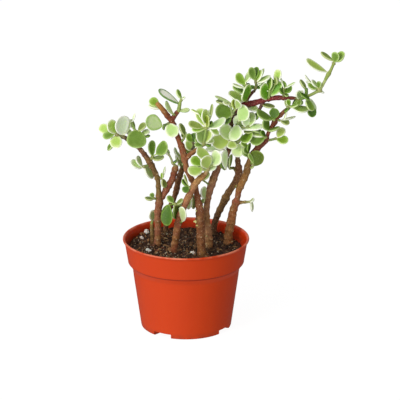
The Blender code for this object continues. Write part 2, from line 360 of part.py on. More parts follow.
        "leaves": [(251.0, 201.6, 252.4, 211.6, 2.4, 1, "C"), (250.4, 201.6, 254.0, 199.8, 2.6, -1, "G")],
    },
}

# perlite grains on the soil: (across, down, half-sizes)
GRAINS = {
    "perlite_1": (146.4, 232.4, (2.8, 2.1, 1.9)),
    "perlite_2": (148.2, 251.2, (2.9, 2.0, 1.7)),
    "perlite_3": (141.6, 238.6, (1.8, 1.6, 1.4)),
    "perlite_4": (192.8, 253.6, (2.2, 1.5, 1.3)),
}


def sight(across, down, y):
    """The point that is seen at (across, down), y behind the pot's axis."""
    c, s = math.cos(LOOK_DOWN), math.sin(LOOK_DOWN)
    side, rise = (across - MIDDLE) / SIGHT, (MIDDLE - down) / SIGHT
    ray = np.array([side, rise * s + c, rise * c - s])
    eye = np.array(STATION)
    return eye + ray * (y - eye[1]) / ray[1]


def sight_at_height(across, down, z):
    c, s = math.cos(LOOK_DOWN), math.sin(LOOK_DOWN)
    side, rise = (across - MIDDLE) / SIGHT, (MIDDLE - down) / SIGHT
    ray = np.array([side, rise * s + c, rise * c - s])
    eye = np.array(STATION)
    return eye + ray * (z - eye[2]) / ray[2]


def soil_height(x, y):
    """Lumpy, higher round the stems and heaped at the back left, lower at the right."""
    r = math.hypot(x, y)
    lumps = (0.5 * math.sin(x * 0.42 + 1.3) * math.cos(y * 0.37 - 0.4) + 0.35 * math.sin(x * 0.81 - y * 0.66)
             + 0.25 * math.cos(x * 0.23 + y * 1.07 + 2.0))
    heap = 2.4 * math.exp(-(((x + 36) / 15) ** 2) - (((y - 31) / 15) ** 2))
    return SOIL_Z - 0.3 + 1.0 * math.exp(-((r / 26) ** 2)) + 0.028 * y + 0.0006 * y * y - 0.026 * x + heap + lumps


def soil_spot(across, down):
    """The place on the soil's surface that is seen at (across, down)."""
    height = SOIL_Z
    for _ in range(30):
        spot = sight_at_height(across, down, height)
        height += 0.5 * (soil_height(spot[0], spot[1]) - height)
    return spot


def unit(v):
    return v / max(float(np.linalg.norm(v)), 1e-9)


def track(points):
    """A tube's table as 3-D points and radii."""
    return np.array([sight(a, d, y) for a, d, y, r in points]), np.array([r for a, d, y, r in points])


def foot_point(shoot, leaf):
    """The place on the shoot's twigs nearest to the leaf's foot as seen, kept off the twig's ends."""
    best = None
    for twig in shoot["twigs"]:
        points, radii = track(twig)
        flat = np.array([(a, d) for a, d, y, r in twig])
        for i in range(len(twig) - 1):
            a, b = flat[i], flat[i + 1]
            span = b - a
            t = float(np.dot(np.array(leaf[:2]) - a, span) / np.dot(span, span))
            t = min(max(t, 0.0), 1.0)
            away = float(np.linalg.norm(a + t * span - np.array(leaf[:2])))
            if best is None or away < best[0] - 1e-9:
                length = float(np.linalg.norm(points[i + 1] - points[i]))
                inset = min(0.9 / length, 0.45)
                if i == 0:
                    t = max(t, inset)
                if i == len(twig) - 2:
                    t = min(t, 1 - inset)
                best = (away, points[i] + t * (points[i + 1] - points[i]))
    return best[1]


def leaf_frame(shoot, leaf, set_back=0.0, turn=0.0, slim=1.0):
    """Foot, root, axis, width direction, upper direction, length and width of a leaf."""
    ax, ad, bx, bd, wide, back = leaf[:6]
    share = leaf[7] if len(leaf) > 7 else 0.84
    root = foot_point(shoot, leaf)
    foot = sight(ax, ad, root[1])
    tip = sight(bx, bd, root[1] + back + set_back)
    axis = unit(tip - foot)
    length = float(np.linalg.norm(tip - foot))
    to_eye = unit(np.array(STATION) - foot)
    face = unit(to_eye - axis * np.dot(to_eye, axis))
    across = unit(np.cross(axis, face))
    scale = float(np.linalg.norm(np.array(STATION) - foot)) / SIGHT
    shown = wide * scale
    full = max(length * share * slim, shown)
    roll = math.acos(min(shown / full, 1.0))
    roll = min(max(roll, math.radians(8)), math.radians(78))
    full = min(full, shown / math.cos(roll) + 0.01)
    choices = []
    for sign in (1, -1):
        r = sign * roll + turn
        choices.append((math.cos(r) * across + math.sin(r) * face, math.cos(r) * face - math.sin(r) * across))
    width_dir, up = max(choices, key=lambda c: c[1][2])
    return root, foot, tip, axis, width_dir, up, length, full


RIM = ((0.27, 0.40), (0.60, 0.50), (0.87, 0.34))


def leaf_hull(frame, start=0.0, grow=0.0):
    """The leaf as a thin faceted lens: rim points and one point above and below."""
    root, foot, tip, axis, width_dir, up, length, width = frame
    left, right = [], []
    for t, half in RIM:
        if t < start:
            continue
        centre = foot + axis * length * t
        left.append(centre + width_dir * (width * half + grow))
        right.append(centre - width_dir * (width * half + grow))
    first = root if start == 0.0 else foot + axis * length * start
    rim = [first] + left + [tip + axis * grow] + right[::-1]
    middle = foot + axis * length * (0.5 if start == 0 else 0.62)
    thick = LEAF_THICK / 2 + grow
    points = np.array(rim + [middle + up * thick, middle - up * thick])
    n = len(rim)
    faces = []
    for i in range(n):
        j = (i + 1) % n
        faces.append((i, j, n))
        faces.append((j, i, n + 1))
    return points, faces


def tube(points, radii, sides, grow=0.0):
    """A closed tube through the points, one ring of corners at each."""
    points = np.asarray(points, float)
    rings, side = [], None
    count = len(points)
    for i in range(count):
        along = unit(unit(points[min(i + 1, count - 1)] - points[max(i - 1, 0)]) if i in (0, count - 1)
                     else unit(points[i + 1] - points[i]) + unit(points[i] - points[i - 1]))
        if side is None:
            side = unit(np.cross(along, (0.3, 1.0, 0.2)))
        side = unit(side - along * np.dot(side, along))
        other = np.cross(along, side)
        r = radii[i] + grow
        rings.append([points[i] + r * (math.cos(2 * math.pi * k / sides) * side + math.sin(2 * math.pi * k / sides) * other)
                      for k in range(sides)])
    if grow:
        rings[0] = [p - unit(points[1] - points[0]) * grow for p in rings[0]]
        rings[-1] = [p + unit(points[-1] - points[-2]) * grow for p in rings[-1]]
    verts = [p for ring in rings for p in ring]
    faces = [tuple(range(sides))[::-1]]
    for i in range(count - 1):
        for k in range(sides):
            a, b = i * sides + k, i * sides + (k + 1) % sides
            faces.append((a, b, b + sides, a + sides))
    faces.append(tuple(range((count - 1) * sides, count * sides)))
    return np.array(verts), faces


def stem_tubes(name):
    """The tubes of a woody stem, the first running on down into the soil."""
    found = []
    for i, line in enumerate(STEMS[name]):
        points, radii = track(line)
        if i == 0:
            down = points[0] + (points[0] - points[1]) * 0.15 - np.array([0, 0, STEM_BURIED])
            points = np.vstack([down, points])
            radii = np.concatenate([[radii[0] * 0.9], radii])
        found.append((points, radii))
    return found


def settled():
    """The frame of every leaf. A leaf that would run through a stem or through
    another leaf turns about its foot along the line of sight until it is clear."""
    solid_tubes = []
    for name in STEMS:
        for points, radii in stem_tubes(name):
            solid_tubes.append((name, tree_of(*tube(points, radii, 6, 0.35))))
    for name, shoot in SHOOTS.items():
        for twig in shoot["twigs"]:
            solid_tubes.append((name, tree_of(*tube(*track(twig), 5, 0.3))))
    every = [(name, i) for name, shoot in SHOOTS.items() for i in range(len(shoot["leaves"]))]
    size = {key: SHOOTS[key[0]]["leaves"][key[1]] for key in every}
    every.sort(key=lambda k: -(size[k][4] * math.hypot(size[k][0] - size[k][2], size[k][1] - size[k][3])))
    ways = [(step, turn, slim) for step in range(-14, 15) for turn in (0, 10, -10, 25, -25) for slim in (1.0, 0.8, 0.6)]
    placed, frames = [], {}
    for key in every:
        shoot = SHOOTS[key[0]]
        leaf = shoot["leaves"][key[1]]
        seen = 0.87 * math.hypot(leaf[0] - leaf[2], leaf[1] - leaf[3])
        best = None
        for step, turn, slim in sorted(ways, key=lambda w: abs(w[0]) + 0.3 * abs(w[1]) + 18 * (1 - w[2])
                                       + 3 * max(0.0, abs(leaf[5] + w[0]) - 0.9 * seen)):
            frame = leaf_frame(shoot, leaf, step, math.radians(turn), slim)
            outer = tree_of(*leaf_hull(frame, 0.25, 0.12))
            whole = tree_of(*leaf_hull(frame, 0.0, 0.12))
            hits = sum(1 for owner, other in solid_tubes
                       if (outer if owner == key[0] or owner in STEMS else whole).overlap(other))
            hits += sum(1 for owner, other_outer, other_whole in placed
                        if (outer.overlap(other_outer) if owner == key[0] else whole.overlap(other_whole)))
            if best is None or hits < best[0]:
                best = (hits, frame, outer, whole)
            if not hits:
                break
        frames[key] = best[1]
        placed.append((key[0], best[2], best[3]))
        if best[0]:
            TIGHT.append((key, best[0]))
    return frames


TIGHT = []


def tree_of(points, faces):
    return BVHTree.FromPolygons([tuple(p) for p in points], faces)


# --- modelling -----------------------------------------------------------------
MM = 0.001
TURN_STEPS = 48
STEM_SIDES = 7
TWIG_SIDES = 5

TONES = {
    "pot": ((0.66, 0.085, 0.022), 0.42),
    "soil": ((0.035, 0.022, 0.014), 0.95),
    "perlite": ((0.74, 0.71, 0.64), 0.9),
    "bark": ((0.21, 0.085, 0.042), 0.8),
    "bark_dark": ((0.075, 0.028, 0.017), 0.75),
    "bark_red": ((0.15, 0.028, 0.028), 0.6),
    "leaf": ((0.15, 0.30, 0.055), 0.5),
    "leaf_pale": ((0.38, 0.50, 0.20), 0.5),
    "leaf_dark": ((0.055, 0.17, 0.025), 0.45),
}
STEM_TONES = {"stem_left_thin": "bark_dark", "stem_back_left": "bark_dark", "stem_back_right": "bark_dark"}
PALE_SHOOTS = ("shoot_far_left", "leaf_low_pale", "shoot_heart", "shoot_heart_top", "shoot_front", "shoot_centre_top",
               "shoot_main_left", "shoot_crest_round", "shoot_right_withered")
DARK_SHOOTS = ("shoot_low", "shoot_left_dark", "shoot_right_upper", "shoot_right_three", "shoot_right_round",
               "shoot_end_node", "shoot_left_upper", "shoot_centre_low", "shoot_centre_thin")


def clear_scene():
    for obj in list(bpy.data.objects):
        bpy.data.objects.remove(obj, do_unlink=True)


def paint(obj, tone):
    """Give an object its own Principled material."""
    colour, rough = TONES[tone]
    material = bpy.data.materials.new(obj.name + "_" + tone)
    material.use_nodes = True
    shader = material.node_tree.nodes["Principled BSDF"]
    shader.inputs["Base Color"].default_value = (*colour, 1.0)
    shader.inputs["Roughness"].default_value = rough
    shader.inputs["Metallic"].default_value = 0.0
    material.diffuse_color = (*colour, 1.0)
    obj.data.materials.append(material)


def add(name, points, faces, at=(0, 0, 0), parent=None, collection=None):
    """An object from points in millimetres, with its origin at `at`."""
    at = np.asarray(at, float)
    mesh = bpy.data.meshes.new(name)
    mesh.from_pydata([tuple((np.asarray(p) - at) * MM) for p in points], [], faces)
    mesh.update()
    obj = bpy.data.objects.new(name, mesh)
    (collection or bpy.context.scene.collection).objects.link(obj)
    obj.location = tuple(at * MM)
    obj.parent = parent
    return obj


def merged(parts):
    """Several closed shells as one list of points and faces."""
    points, faces = [], []
    for some_points, some_faces in parts:
        start = len(points)
        points += [tuple(p) for p in some_points]
        faces += [tuple(start + i for i in face) for face in some_faces]
    return points, faces


def helper(name, points, faces, collection=None):
    """A hidden operand for a Boolean."""
    obj = add(name, points, faces, collection=collection)
    obj.hide_render = True
    obj.display_type = "WIRE"
    return obj


def boolean(obj, operand, operation, overlapping=False):
    modifier = obj.modifiers.new(operation.title() + "_" + operand.name, "BOOLEAN")
    modifier.operation = operation
    modifier.solver = "EXACT"
    if isinstance(operand, bpy.types.Collection):
        modifier.operand_type = "COLLECTION"
        modifier.collection = operand
    else:
        modifier.object = operand
    modifier.use_self = overlapping
    return modifier


def smooth(obj, degrees=35):
    obj.data.shade_smooth()
    obj.data.set_sharp_from_angle(angle=math.radians(degrees))


def turned(profile, steps=TURN_STEPS):
    """The closed solid made by spinning a profile that starts and ends on the axis.
    Profile points are (radius, height) from the bottom up."""
    bm = bmesh.new()
    verts = [bm.verts.new((r, 0.0, z)) for r, z in profile]
    edges = [bm.edges.new(pair) for pair in zip(verts[:-1], verts[1:])]
    bmesh.ops.spin(bm, geom=verts + edges, cent=(0, 0, 0), axis=(0, 0, 1), angle=2 * math.pi, steps=steps, use_merge=True)
    bmesh.ops.remove_doubles(bm, verts=bm.verts, dist=1e-4)
    bmesh.ops.recalc_face_normals(bm, faces=bm.faces)
    bm.verts.index_update()
    points = [tuple(v.co) for v in bm.verts]
    faces = [tuple(v.index for v in f.verts) for f in bm.faces]
    bm.free()
    return points, faces


def sector(angle, wide, inner, outer, low, high):
    """A closed wedge of a ring, `angle` degrees round from the front towards +X."""
    count = 6
    rings = []
    for z in (low, high):
        for radius in (inner, outer):
            rings.append([])
            for k in range(count + 1):
                a = math.radians(angle - wide / 2 + wide * k / count - 90)
                rings[-1].append((radius * math.cos(a), radius * math.sin(a), z))
    points = [p for ring in rings for p in ring]
    n = count + 1
    low_in, low_out, high_in, high_out = (range(i * n, (i + 1) * n) for i in range(4))
    faces = []
    for k in range(count):
        faces.append((low_in[k], low_in[k + 1], low_out[k + 1], low_out[k]))
        faces.append((high_in[k], high_out[k], high_out[k + 1], high_in[k + 1]))
        faces.append((low_in[k], high_in[k], high_in[k + 1], low_in[k + 1]))
        faces.append((low_out[k], low_out[k + 1], high_out[k + 1], high_out[k]))
    faces.append((low_in[0], low_out[0], high_out[0], high_in[0]))
    faces.append((low_in[-1], high_in[-1], high_out[-1], low_out[-1]))
    return points, faces


def outer_profile():
    lip_low = POT_HEIGHT - LIP_H
    return [
        (0, 0), (FOOT_R - 0.9, 0), (FOOT_R - 0.2, 0.3), (FOOT_R, 1.0),
        (STEP_R, STEP_Z), (COLLAR_LOW_R - 1.0, COLLAR_LOW_Z - 1.4), (COLLAR_LOW_R, COLLAR_LOW_Z), (COLLAR_TOP_R, lip_low - 0.4),
        (LIP_R - 0.5, lip_low + 0.3), (LIP_R, lip_low + 1.0), (LIP_R, POT_HEIGHT - 0.6),
        (LIP_R - 0.5, POT_HEIGHT), (0, POT_HEIGHT),
    ]


def hollow_profile(inset, top):
    """The pot's hollow up to `top`, drawn in by `inset` from the wall's inner face."""
    low = FLOOR + inset
    rise = WALL + inset
    corners = [
        (FOOT_R - rise - 0.6, low), (FOOT_R - rise + 0.2, low + 1.0), (STEP_R - rise, STEP_Z + 0.5),
        (COLLAR_LOW_R - rise, COLLAR_LOW_Z + 0.5), (COLLAR_TOP_R - rise, POT_HEIGHT - LIP_H), (LIP_R - 1.7 - inset, POT_HEIGHT),
    ]
    kept = [(0, low)]
    for k, (r, z) in enumerate(corners):
        if z > top:
            r0, z0 = corners[k - 1]
            kept.append((r0 + (r - r0) * (top - z0) / (z - z0), top))
            break
        kept.append((r, z))
    return kept


def soil_solid():
    """The root ball: the hollow's shape with an uneven top laid out in rings."""
    side = hollow_profile(GAP, SOIL_Z - 6.0)[1:]
    radii = [r for r, z in side]
    edge = radii[-1]
    tops = (edge, edge - 4.5, 36.0, 27.0, 18.0, 9.0)
    points, faces = [(0.0, 0.0, side[0][1])], []
    rings = []
    for r, z in side:
        rings.append(len(points))
        for k in range(TURN_STEPS):
            a = 2 * math.pi * k / TURN_STEPS
            points.append((r * math.cos(a), r * math.sin(a), z))
    for i, r in enumerate(tops):
        rings.append(len(points))
        for k in range(TURN_STEPS):
            a = 2 * math.pi * k / TURN_STEPS
            x, y = r * math.cos(a), r * math.sin(a)
            points.append((x, y, soil_height(x, y) - (0.8 if i == 0 else 0.0)))
    points.append((0.0, 0.0, soil_height(0, 0)))
    top = len(points) - 1
    for k in range(TURN_STEPS):
        j = (k + 1) % TURN_STEPS
        faces.append((0, rings[0] + j, rings[0] + k))
        for a, b in zip(rings[:-1], rings[1:]):
            faces.append((a + k, a + j, b + j, b + k))
        faces.append((rings[-1] + k, rings[-1] + j, top))
    return points, faces


def grain_solid(centre, sizes, turn, grow=0.0):
    """A rounded, uneven lump."""
    bm = bmesh.new()
    bmesh.ops.create_icosphere(bm, subdivisions=1, radius=1.0)
    points = []
    for v in bm.verts:
        x, y, z = v.co
        lump = 1 + 0.13 * math.sin(5.1 * x + 3.3 * y + 4.7 * z + turn * 7)
        px, py, pz = (x * (sizes[0] * lump + grow), y * (sizes[1] * lump + grow), z * (sizes[2] * lump + grow))
        c, s = math.cos(turn), math.sin(turn)
        points.append((centre[0] + c * px - s * py, centre[1] + s * px + c * py, centre[2] + pz))
    faces = [tuple(v.index for v in f.verts) for f in bm.faces]
    bm.free()
    return points, faces


def build():
    clear_scene()
    stand = bpy.data.objects.new("elephant_bush", None)
    bpy.context.scene.collection.objects.link(stand)
    plant = bpy.data.objects.new("plant", None)
    plant.parent = stand
    bpy.context.scene.collection.objects.link(plant)
    clearance = bpy.data.collections.new("stem_clearance")
    bedding = bpy.data.collections.new("soil_clearance")
    notches = bpy.data.collections.new("pot_cutters")
    lifts = bpy.data.collections.new("foot_lifts")
    for collection in (clearance, bedding, notches, lifts):
        bpy.context.scene.collection.children.link(collection)

    # pot: a turned outside less a turned hollow, with four notches under its foot
    pot = add("pot", *turned(outer_profile()), parent=stand)
    hollow = hollow_profile(0.0, POT_HEIGHT)
    hollow = hollow[:-1] + [(hollow[-1][0] + 0.1, POT_HEIGHT + 2.0), (0, POT_HEIGHT + 2.0)]
    cavity = helper("pot_hollow", *turned(hollow), collection=notches)
    for i, angle in enumerate(NOTCH_ANGLES):
        helper(f"notch_{i + 1}", *sector(angle, NOTCH_WIDE, FOOT_R - NOTCH_DEEP, FOOT_R + 6, -2.0, NOTCH_HIGH), collection=notches)
        helper(f"drain_{i + 1}", *sector(angle, 14.0, FOOT_R - 7.0, FOOT_R - 3.2, NOTCH_HIGH - 1.0, NOTCH_HIGH + 4.0), collection=notches)
        helper(f"lift_{i + 1}", *sector(angle, NOTCH_WIDE + 5.0, FOOT_R - NOTCH_DEEP - WALL, FOOT_R + 6, -2.0, NOTCH_HIGH + WALL), collection=lifts)
    boolean(cavity, lifts, "DIFFERENCE")
    boolean(pot, notches, "DIFFERENCE")
    paint(pot, "pot")
    smooth(pot, 30)

    # woody stems
    for name in STEMS:
        tubes = stem_tubes(name)
        base = tubes[0][0][1]
        stem = add(name, *tube(*tubes[0], STEM_SIDES), at=base, parent=plant)
        if len(tubes) > 1:
            for i, side in enumerate(tubes[1:]):
                boolean(stem, helper(f"{name}_branch_{i + 1}", *tube(*side, STEM_SIDES)), "UNION")
        for i, (points, radii) in enumerate(tubes):
            helper(f"{name}_space_{i + 1}", *tube(points, radii, STEM_SIDES, GAP), collection=clearance)
        paint(stem, STEM_TONES.get(name, "bark"))
        smooth(stem, 60)

    # perlite grains on the soil
    for i, (name, (across, down, sizes)) in enumerate(GRAINS.items()):
        spot = soil_spot(across, down)
        spot[2] += sizes[2] * 0.35
        grain = add(name, *grain_solid(spot, sizes, i * 1.9), parent=stand)
        helper(name + "_space", *grain_solid(spot, sizes, i * 1.9, GAP + 0.1), collection=bedding)
        paint(grain, "perlite")
        smooth(grain, 60)

    # potting mix, with a hole for each stem and a dent for each grain
    soil = add("soil", *soil_solid(), parent=stand)
    cuts = bpy.data.collections.new("foot_lifts_wide")
    bpy.context.scene.collection.children.link(cuts)
    for i, angle in enumerate(NOTCH_ANGLES):
        helper(f"lift_wide_{i + 1}", *sector(angle, NOTCH_WIDE + 6.2, FOOT_R - NOTCH_DEEP - WALL - GAP, FOOT_R + 6, -2.0,
                                             NOTCH_HIGH + WALL + GAP), collection=cuts)
    boolean(soil, cuts, "DIFFERENCE")
    boolean(soil, bedding, "DIFFERENCE")
    boolean(soil, clearance, "DIFFERENCE")
    paint(soil, "soil")
    smooth(soil, 60)

    # shoots: twigs joined with their leaves, kept clear of the stems
    frames = settled()
    for name, shoot in SHOOTS.items():
        twigs = [tube(*track(twig), TWIG_SIDES) for twig in shoot["twigs"]]
        leaves = [leaf_hull(frames[(name, i)]) for i in range(len(shoot["leaves"]))]
        start = sight(*shoot["twigs"][0][0][:3])
        obj = add(name, *twigs[0], at=start, parent=plant)
        boolean(obj, helper(name + "_leaves", *merged(twigs[1:] + leaves)), "UNION", overlapping=True)
        boolean(obj, clearance, "DIFFERENCE")
        tone = "leaf_pale" if name in PALE_SHOOTS else "leaf_dark" if name in DARK_SHOOTS else "leaf"
        paint(obj, tone)
        smooth(obj, 40)


build()
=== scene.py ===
"""The fine surface of a variegated elephant bush in its nursery pot: leaves with
cream margins, lenticelled bark, crumbly potting mix with perlite and a moulded pot."""
import json
import math

import bmesh
import bpy
import numpy as np
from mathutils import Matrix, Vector, noise
from mathutils.bvhtree import BVHTree

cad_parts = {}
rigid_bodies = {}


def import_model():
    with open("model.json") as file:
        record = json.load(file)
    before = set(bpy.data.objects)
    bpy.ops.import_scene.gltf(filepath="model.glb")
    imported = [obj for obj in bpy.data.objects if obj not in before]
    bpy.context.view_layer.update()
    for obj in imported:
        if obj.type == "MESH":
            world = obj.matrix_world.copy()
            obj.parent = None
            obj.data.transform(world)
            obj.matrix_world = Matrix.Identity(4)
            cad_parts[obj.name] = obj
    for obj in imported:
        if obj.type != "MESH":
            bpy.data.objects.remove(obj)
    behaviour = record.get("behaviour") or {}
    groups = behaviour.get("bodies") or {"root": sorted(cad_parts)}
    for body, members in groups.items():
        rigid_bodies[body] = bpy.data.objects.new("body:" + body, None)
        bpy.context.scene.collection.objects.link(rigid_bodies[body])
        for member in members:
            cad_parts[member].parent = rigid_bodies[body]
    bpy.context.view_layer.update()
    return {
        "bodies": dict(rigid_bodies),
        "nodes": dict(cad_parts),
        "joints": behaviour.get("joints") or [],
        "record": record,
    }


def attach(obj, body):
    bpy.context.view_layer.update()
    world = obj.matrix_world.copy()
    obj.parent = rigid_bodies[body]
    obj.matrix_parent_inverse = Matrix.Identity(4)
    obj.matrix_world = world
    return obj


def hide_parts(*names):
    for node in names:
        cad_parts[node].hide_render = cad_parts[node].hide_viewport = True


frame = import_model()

# --- shape tables ------------------------------------------------------------
# All lengths are millimetres here. The plant is set out as it is seen from one
# station in front of the pot and above it: a point is (across, down, y), where
# across and down are counts of 1/2000 of the viewing distance and y is the
# distance behind the pot's axis (negative towards the viewer).
STATION = (11.93, -1611.7, 643.4)
LOOK_DOWN = math.radians(18.25)
SIGHT = 2000.0
MIDDLE = 200.0

POT_HEIGHT = 78.5
LIP_R = 54.0
LIP_H = 2.4
COLLAR_TOP_R = 52.3
COLLAR_LOW_R = 49.7
COLLAR_LOW_Z = 58.1
STEP_R = 45.7
STEP_Z = 51.5
FOOT_R = 38.9
WALL = 1.3
FLOOR = 1.6
NOTCH_ANGLES = (-31.5, 58.5, 148.5, 238.5)
NOTCH_WIDE = 25.0
NOTCH_HIGH = 3.8
NOTCH_DEEP = 9.0
SOIL_Z = 67.5
STEM_BURIED = 11.0
GAP = 0.3
LEAF_THICK = 2.0

# woody stems: each is a list of tubes, each tube a list of (across, down, y, radius)
STEMS = {
    "stem_left": [
        [(157.5, 246, 7.5, 2.7), (158.0, 230, 7, 2.9), (157.9, 220, 7, 3.0), (158.3, 210, 6.5, 3.0), (159.3, 203, 6, 3.2),
         (159.0, 196, 5.5, 2.6), (158.4, 188, 5, 2.1), (157.9, 180, 3, 2.1), (153.9, 170, 1, 2.3), (149.0, 161, -1, 2.4),
         (144.8, 155, -2.5, 2.0), (140.5, 149.6, -4, 1.9), (132, 142.5, -6, 1.9), (127.5, 139.2, -7, 1.8), (123.9, 137.0, -8, 1.6)],
        [(159.8, 200, 6.5, 2.5), (163.5, 194.6, 7, 2.4), (166.3, 189.6, 7.5, 2.6), (168.9, 184.8, 8, 2.9), (172.0, 180, 8, 2.6),
         (174.1, 173, 7.5, 2.7), (175.3, 168.5, 7, 2.7), (176.3, 164.8, 6.5, 1.9)],
    ],
    "stem_left_thin": [
        [(152.8, 245, 12.5, 1.9), (152.3, 234, 12, 1.8), (151.8, 222.5, 11.5, 1.5)],
    ],
    "stem_back_left": [
        [(165.3, 232, 38, 2.2), (167.0, 220, 36.5, 2.2), (170.5, 206, 34, 2.2), (174.7, 196, 30, 2.3), (176.4, 190, 28, 2.5),
         (178.0, 182, 25, 2.4), (180.2, 175, 22, 2.4), (182.3, 167.4, 18, 2.0)],
    ],
    "stem_centre_left": [
        [(173.6, 252, -6.5, 3.0), (174.6, 244, -7.5, 2.8), (176.3, 235, -8.5, 2.8), (177.7, 226, -9.5, 2.8), (179.6, 217, -10.5, 2.7),
         (184.0, 206.5, -12, 2.7), (186.8, 200, -13, 2.9), (189.4, 195, -13.5, 2.7), (192.4, 188.6, -14, 2.8), (196.6, 182.4, -14.5, 2.6),
         (201.4, 177, -15, 2.5), (205.2, 173.6, -15, 2.4)],
    ],
    "stem_main": [
        [(202.0, 256, -15, 3.7), (201.2, 246, -14.5, 3.5), (200.6, 234, -13, 3.5), (200.2, 222, -11, 3.6), (199.9, 210, -9, 3.3),
         (197.8, 200, -7, 2.7), (196.4, 192, -6, 2.4), (194.8, 185, -5, 2.5), (191.6, 179.5, -4.5, 2.3), (188.8, 174.5, -4, 2.2),
         (186.7, 169, -4, 2.4), (185.4, 163, -3.5, 2.4), (184.4, 158, -3.5, 2.7), (182.8, 151, -3, 2.6), (180.9, 145, -3, 2.6),
         (178.9, 140, -3, 2.4), (177.3, 135.5, -3, 2.1), (174.6, 127.5, -3, 2.0), (171.8, 121, -3, 2.2), (168.2, 117, -3, 2.2),
         (164.6, 112, -4, 2.2), (160.6, 107, -5, 2.1), (156.9, 103.2, -6, 1.9)],
        [(171.8, 121, -3, 2.0), (174.4, 116, -2, 1.8), (176.9, 112.6, -1, 1.9), (178.4, 110.6, -1, 1.7)],
        [(171.2, 120.6, -3, 1.5), (174.4, 123.2, -3, 1.1), (176.5, 125.0, -3, 0.8)],
        [(185.6, 159.5, -3.5, 1.9), (189.8, 154.8, -5, 1.9), (194.6, 151.2, -7, 1.7), (198.2, 148.4, -8.5, 1.5)],
    ],
    "stem_centre": [
        [(208.8, 247, 6.5, 3.1), (208.4, 236, 6.5, 3.1), (207.6, 226, 6.5, 2.8), (206.9, 216, 6.5, 2.5), (206.8, 206, 6.5, 2.5),
         (208.0, 197, 6.5, 2.8), (209.9, 189.5, 7, 3.0), (212.7, 181, 7.5, 3.0), (214.7, 175.5, 8, 3.0), (216.5, 171, 8, 2.9),
         (221.0, 161.5, 9, 2.6), (227.6, 152.5, 10, 2.3), (230.8, 141, 10, 2.2), (230.9, 127, 9, 2.2), (232.6, 118, 8, 2.2),
         (235.5, 111.2, 7, 1.9), (239.6, 106, 6, 1.8), (245.0, 104.2, 5, 2.2), (250.5, 103.6, 5, 2.4), (256.2, 102.4, 4.5, 2.3),
         (262.0, 100.6, 4, 2.2), (268.0, 98.8, 3.5, 2.2), (275.0, 97.9, 3, 2.2), (283.0, 97.8, 2, 2.0), (290.0, 98.0, 1, 1.6),
         (295.8, 98.2, 0, 1.3)],
        [(245.6, 104.0, 5, 1.6), (246.8, 99.8, 5, 1.5), (250.4, 94.6, 4, 1.4), (254.4, 90.6, 3, 1.2)],
        [(264.2, 100.2, 4, 1.7), (262.6, 103.4, 3.4, 1.5)],
    ],
    "stem_right": [
        [(228.0, 244, 16.5, 3.9), (228.6, 234, 15.5, 3.5), (230.2, 226, 14.5, 3.4), (231.6, 219, 14, 3.6), (233.2, 211, 13, 3.3),
         (235.0, 205.5, 12, 3.1), (236.2, 201.6, 11.5, 3.5), (237.5, 197.6, 11, 2.3), (238.7, 190.6, 10, 2.7), (241.2, 185, 9.5, 2.8),
         (243.7, 179.6, 9, 2.8), (245.8, 174.6, 8, 2.6), (247.8, 167.4, 7, 3.0), (249.6, 160.5, 6, 2.2), (252.6, 154.4, 5, 2.5),
         (257.0, 148.9, 4, 2.6), (262.0, 144.2, 3, 2.3), (265.9, 140.8, 2.5, 2.1), (267.2, 136.4, 2, 1.6), (268.7, 132.2, 2, 1.5),
         (271.2, 128, 1.5, 1.6), (274.5, 122.4, 1, 2.5), (277.0, 117.8, 1, 1.7), (280.6, 115, 0.5, 1.8), (284.2, 111.5, 0, 1.7),
         (288.4, 108.2, 0, 1.4), (291.6, 105.6, -0.5, 1.1)],
        [(237.0, 202.6, 11.5, 1.4), (243.0, 202.2, 10.5, 1.3), (247.6, 201.9, 9.5, 1.2)],
    ],
    "stem_back_right": [
        [(213.3, 234, 35.5, 2.9), (214.5, 224, 35, 2.7), (217.6, 215, 34, 2.6), (222.0, 205.5, 32, 2.7), (225.4, 198.6, 30, 3.3),
         (227.4, 194.4, 29, 2.9), (232.2, 187, 26.5, 2.8), (235.6, 181.5, 24.5, 3.0), (238.4, 175.5, 22.5, 3.2), (238.8, 169, 21, 2.7),
         (238.0, 163, 19.5, 2.3), (237.6, 158, 18, 2.1)],
        [(238.0, 172.5, 22, 1.5), (234.8, 169.4, 20, 1.2), (232.4, 167.6, 18, 1.1)],
    ],
}

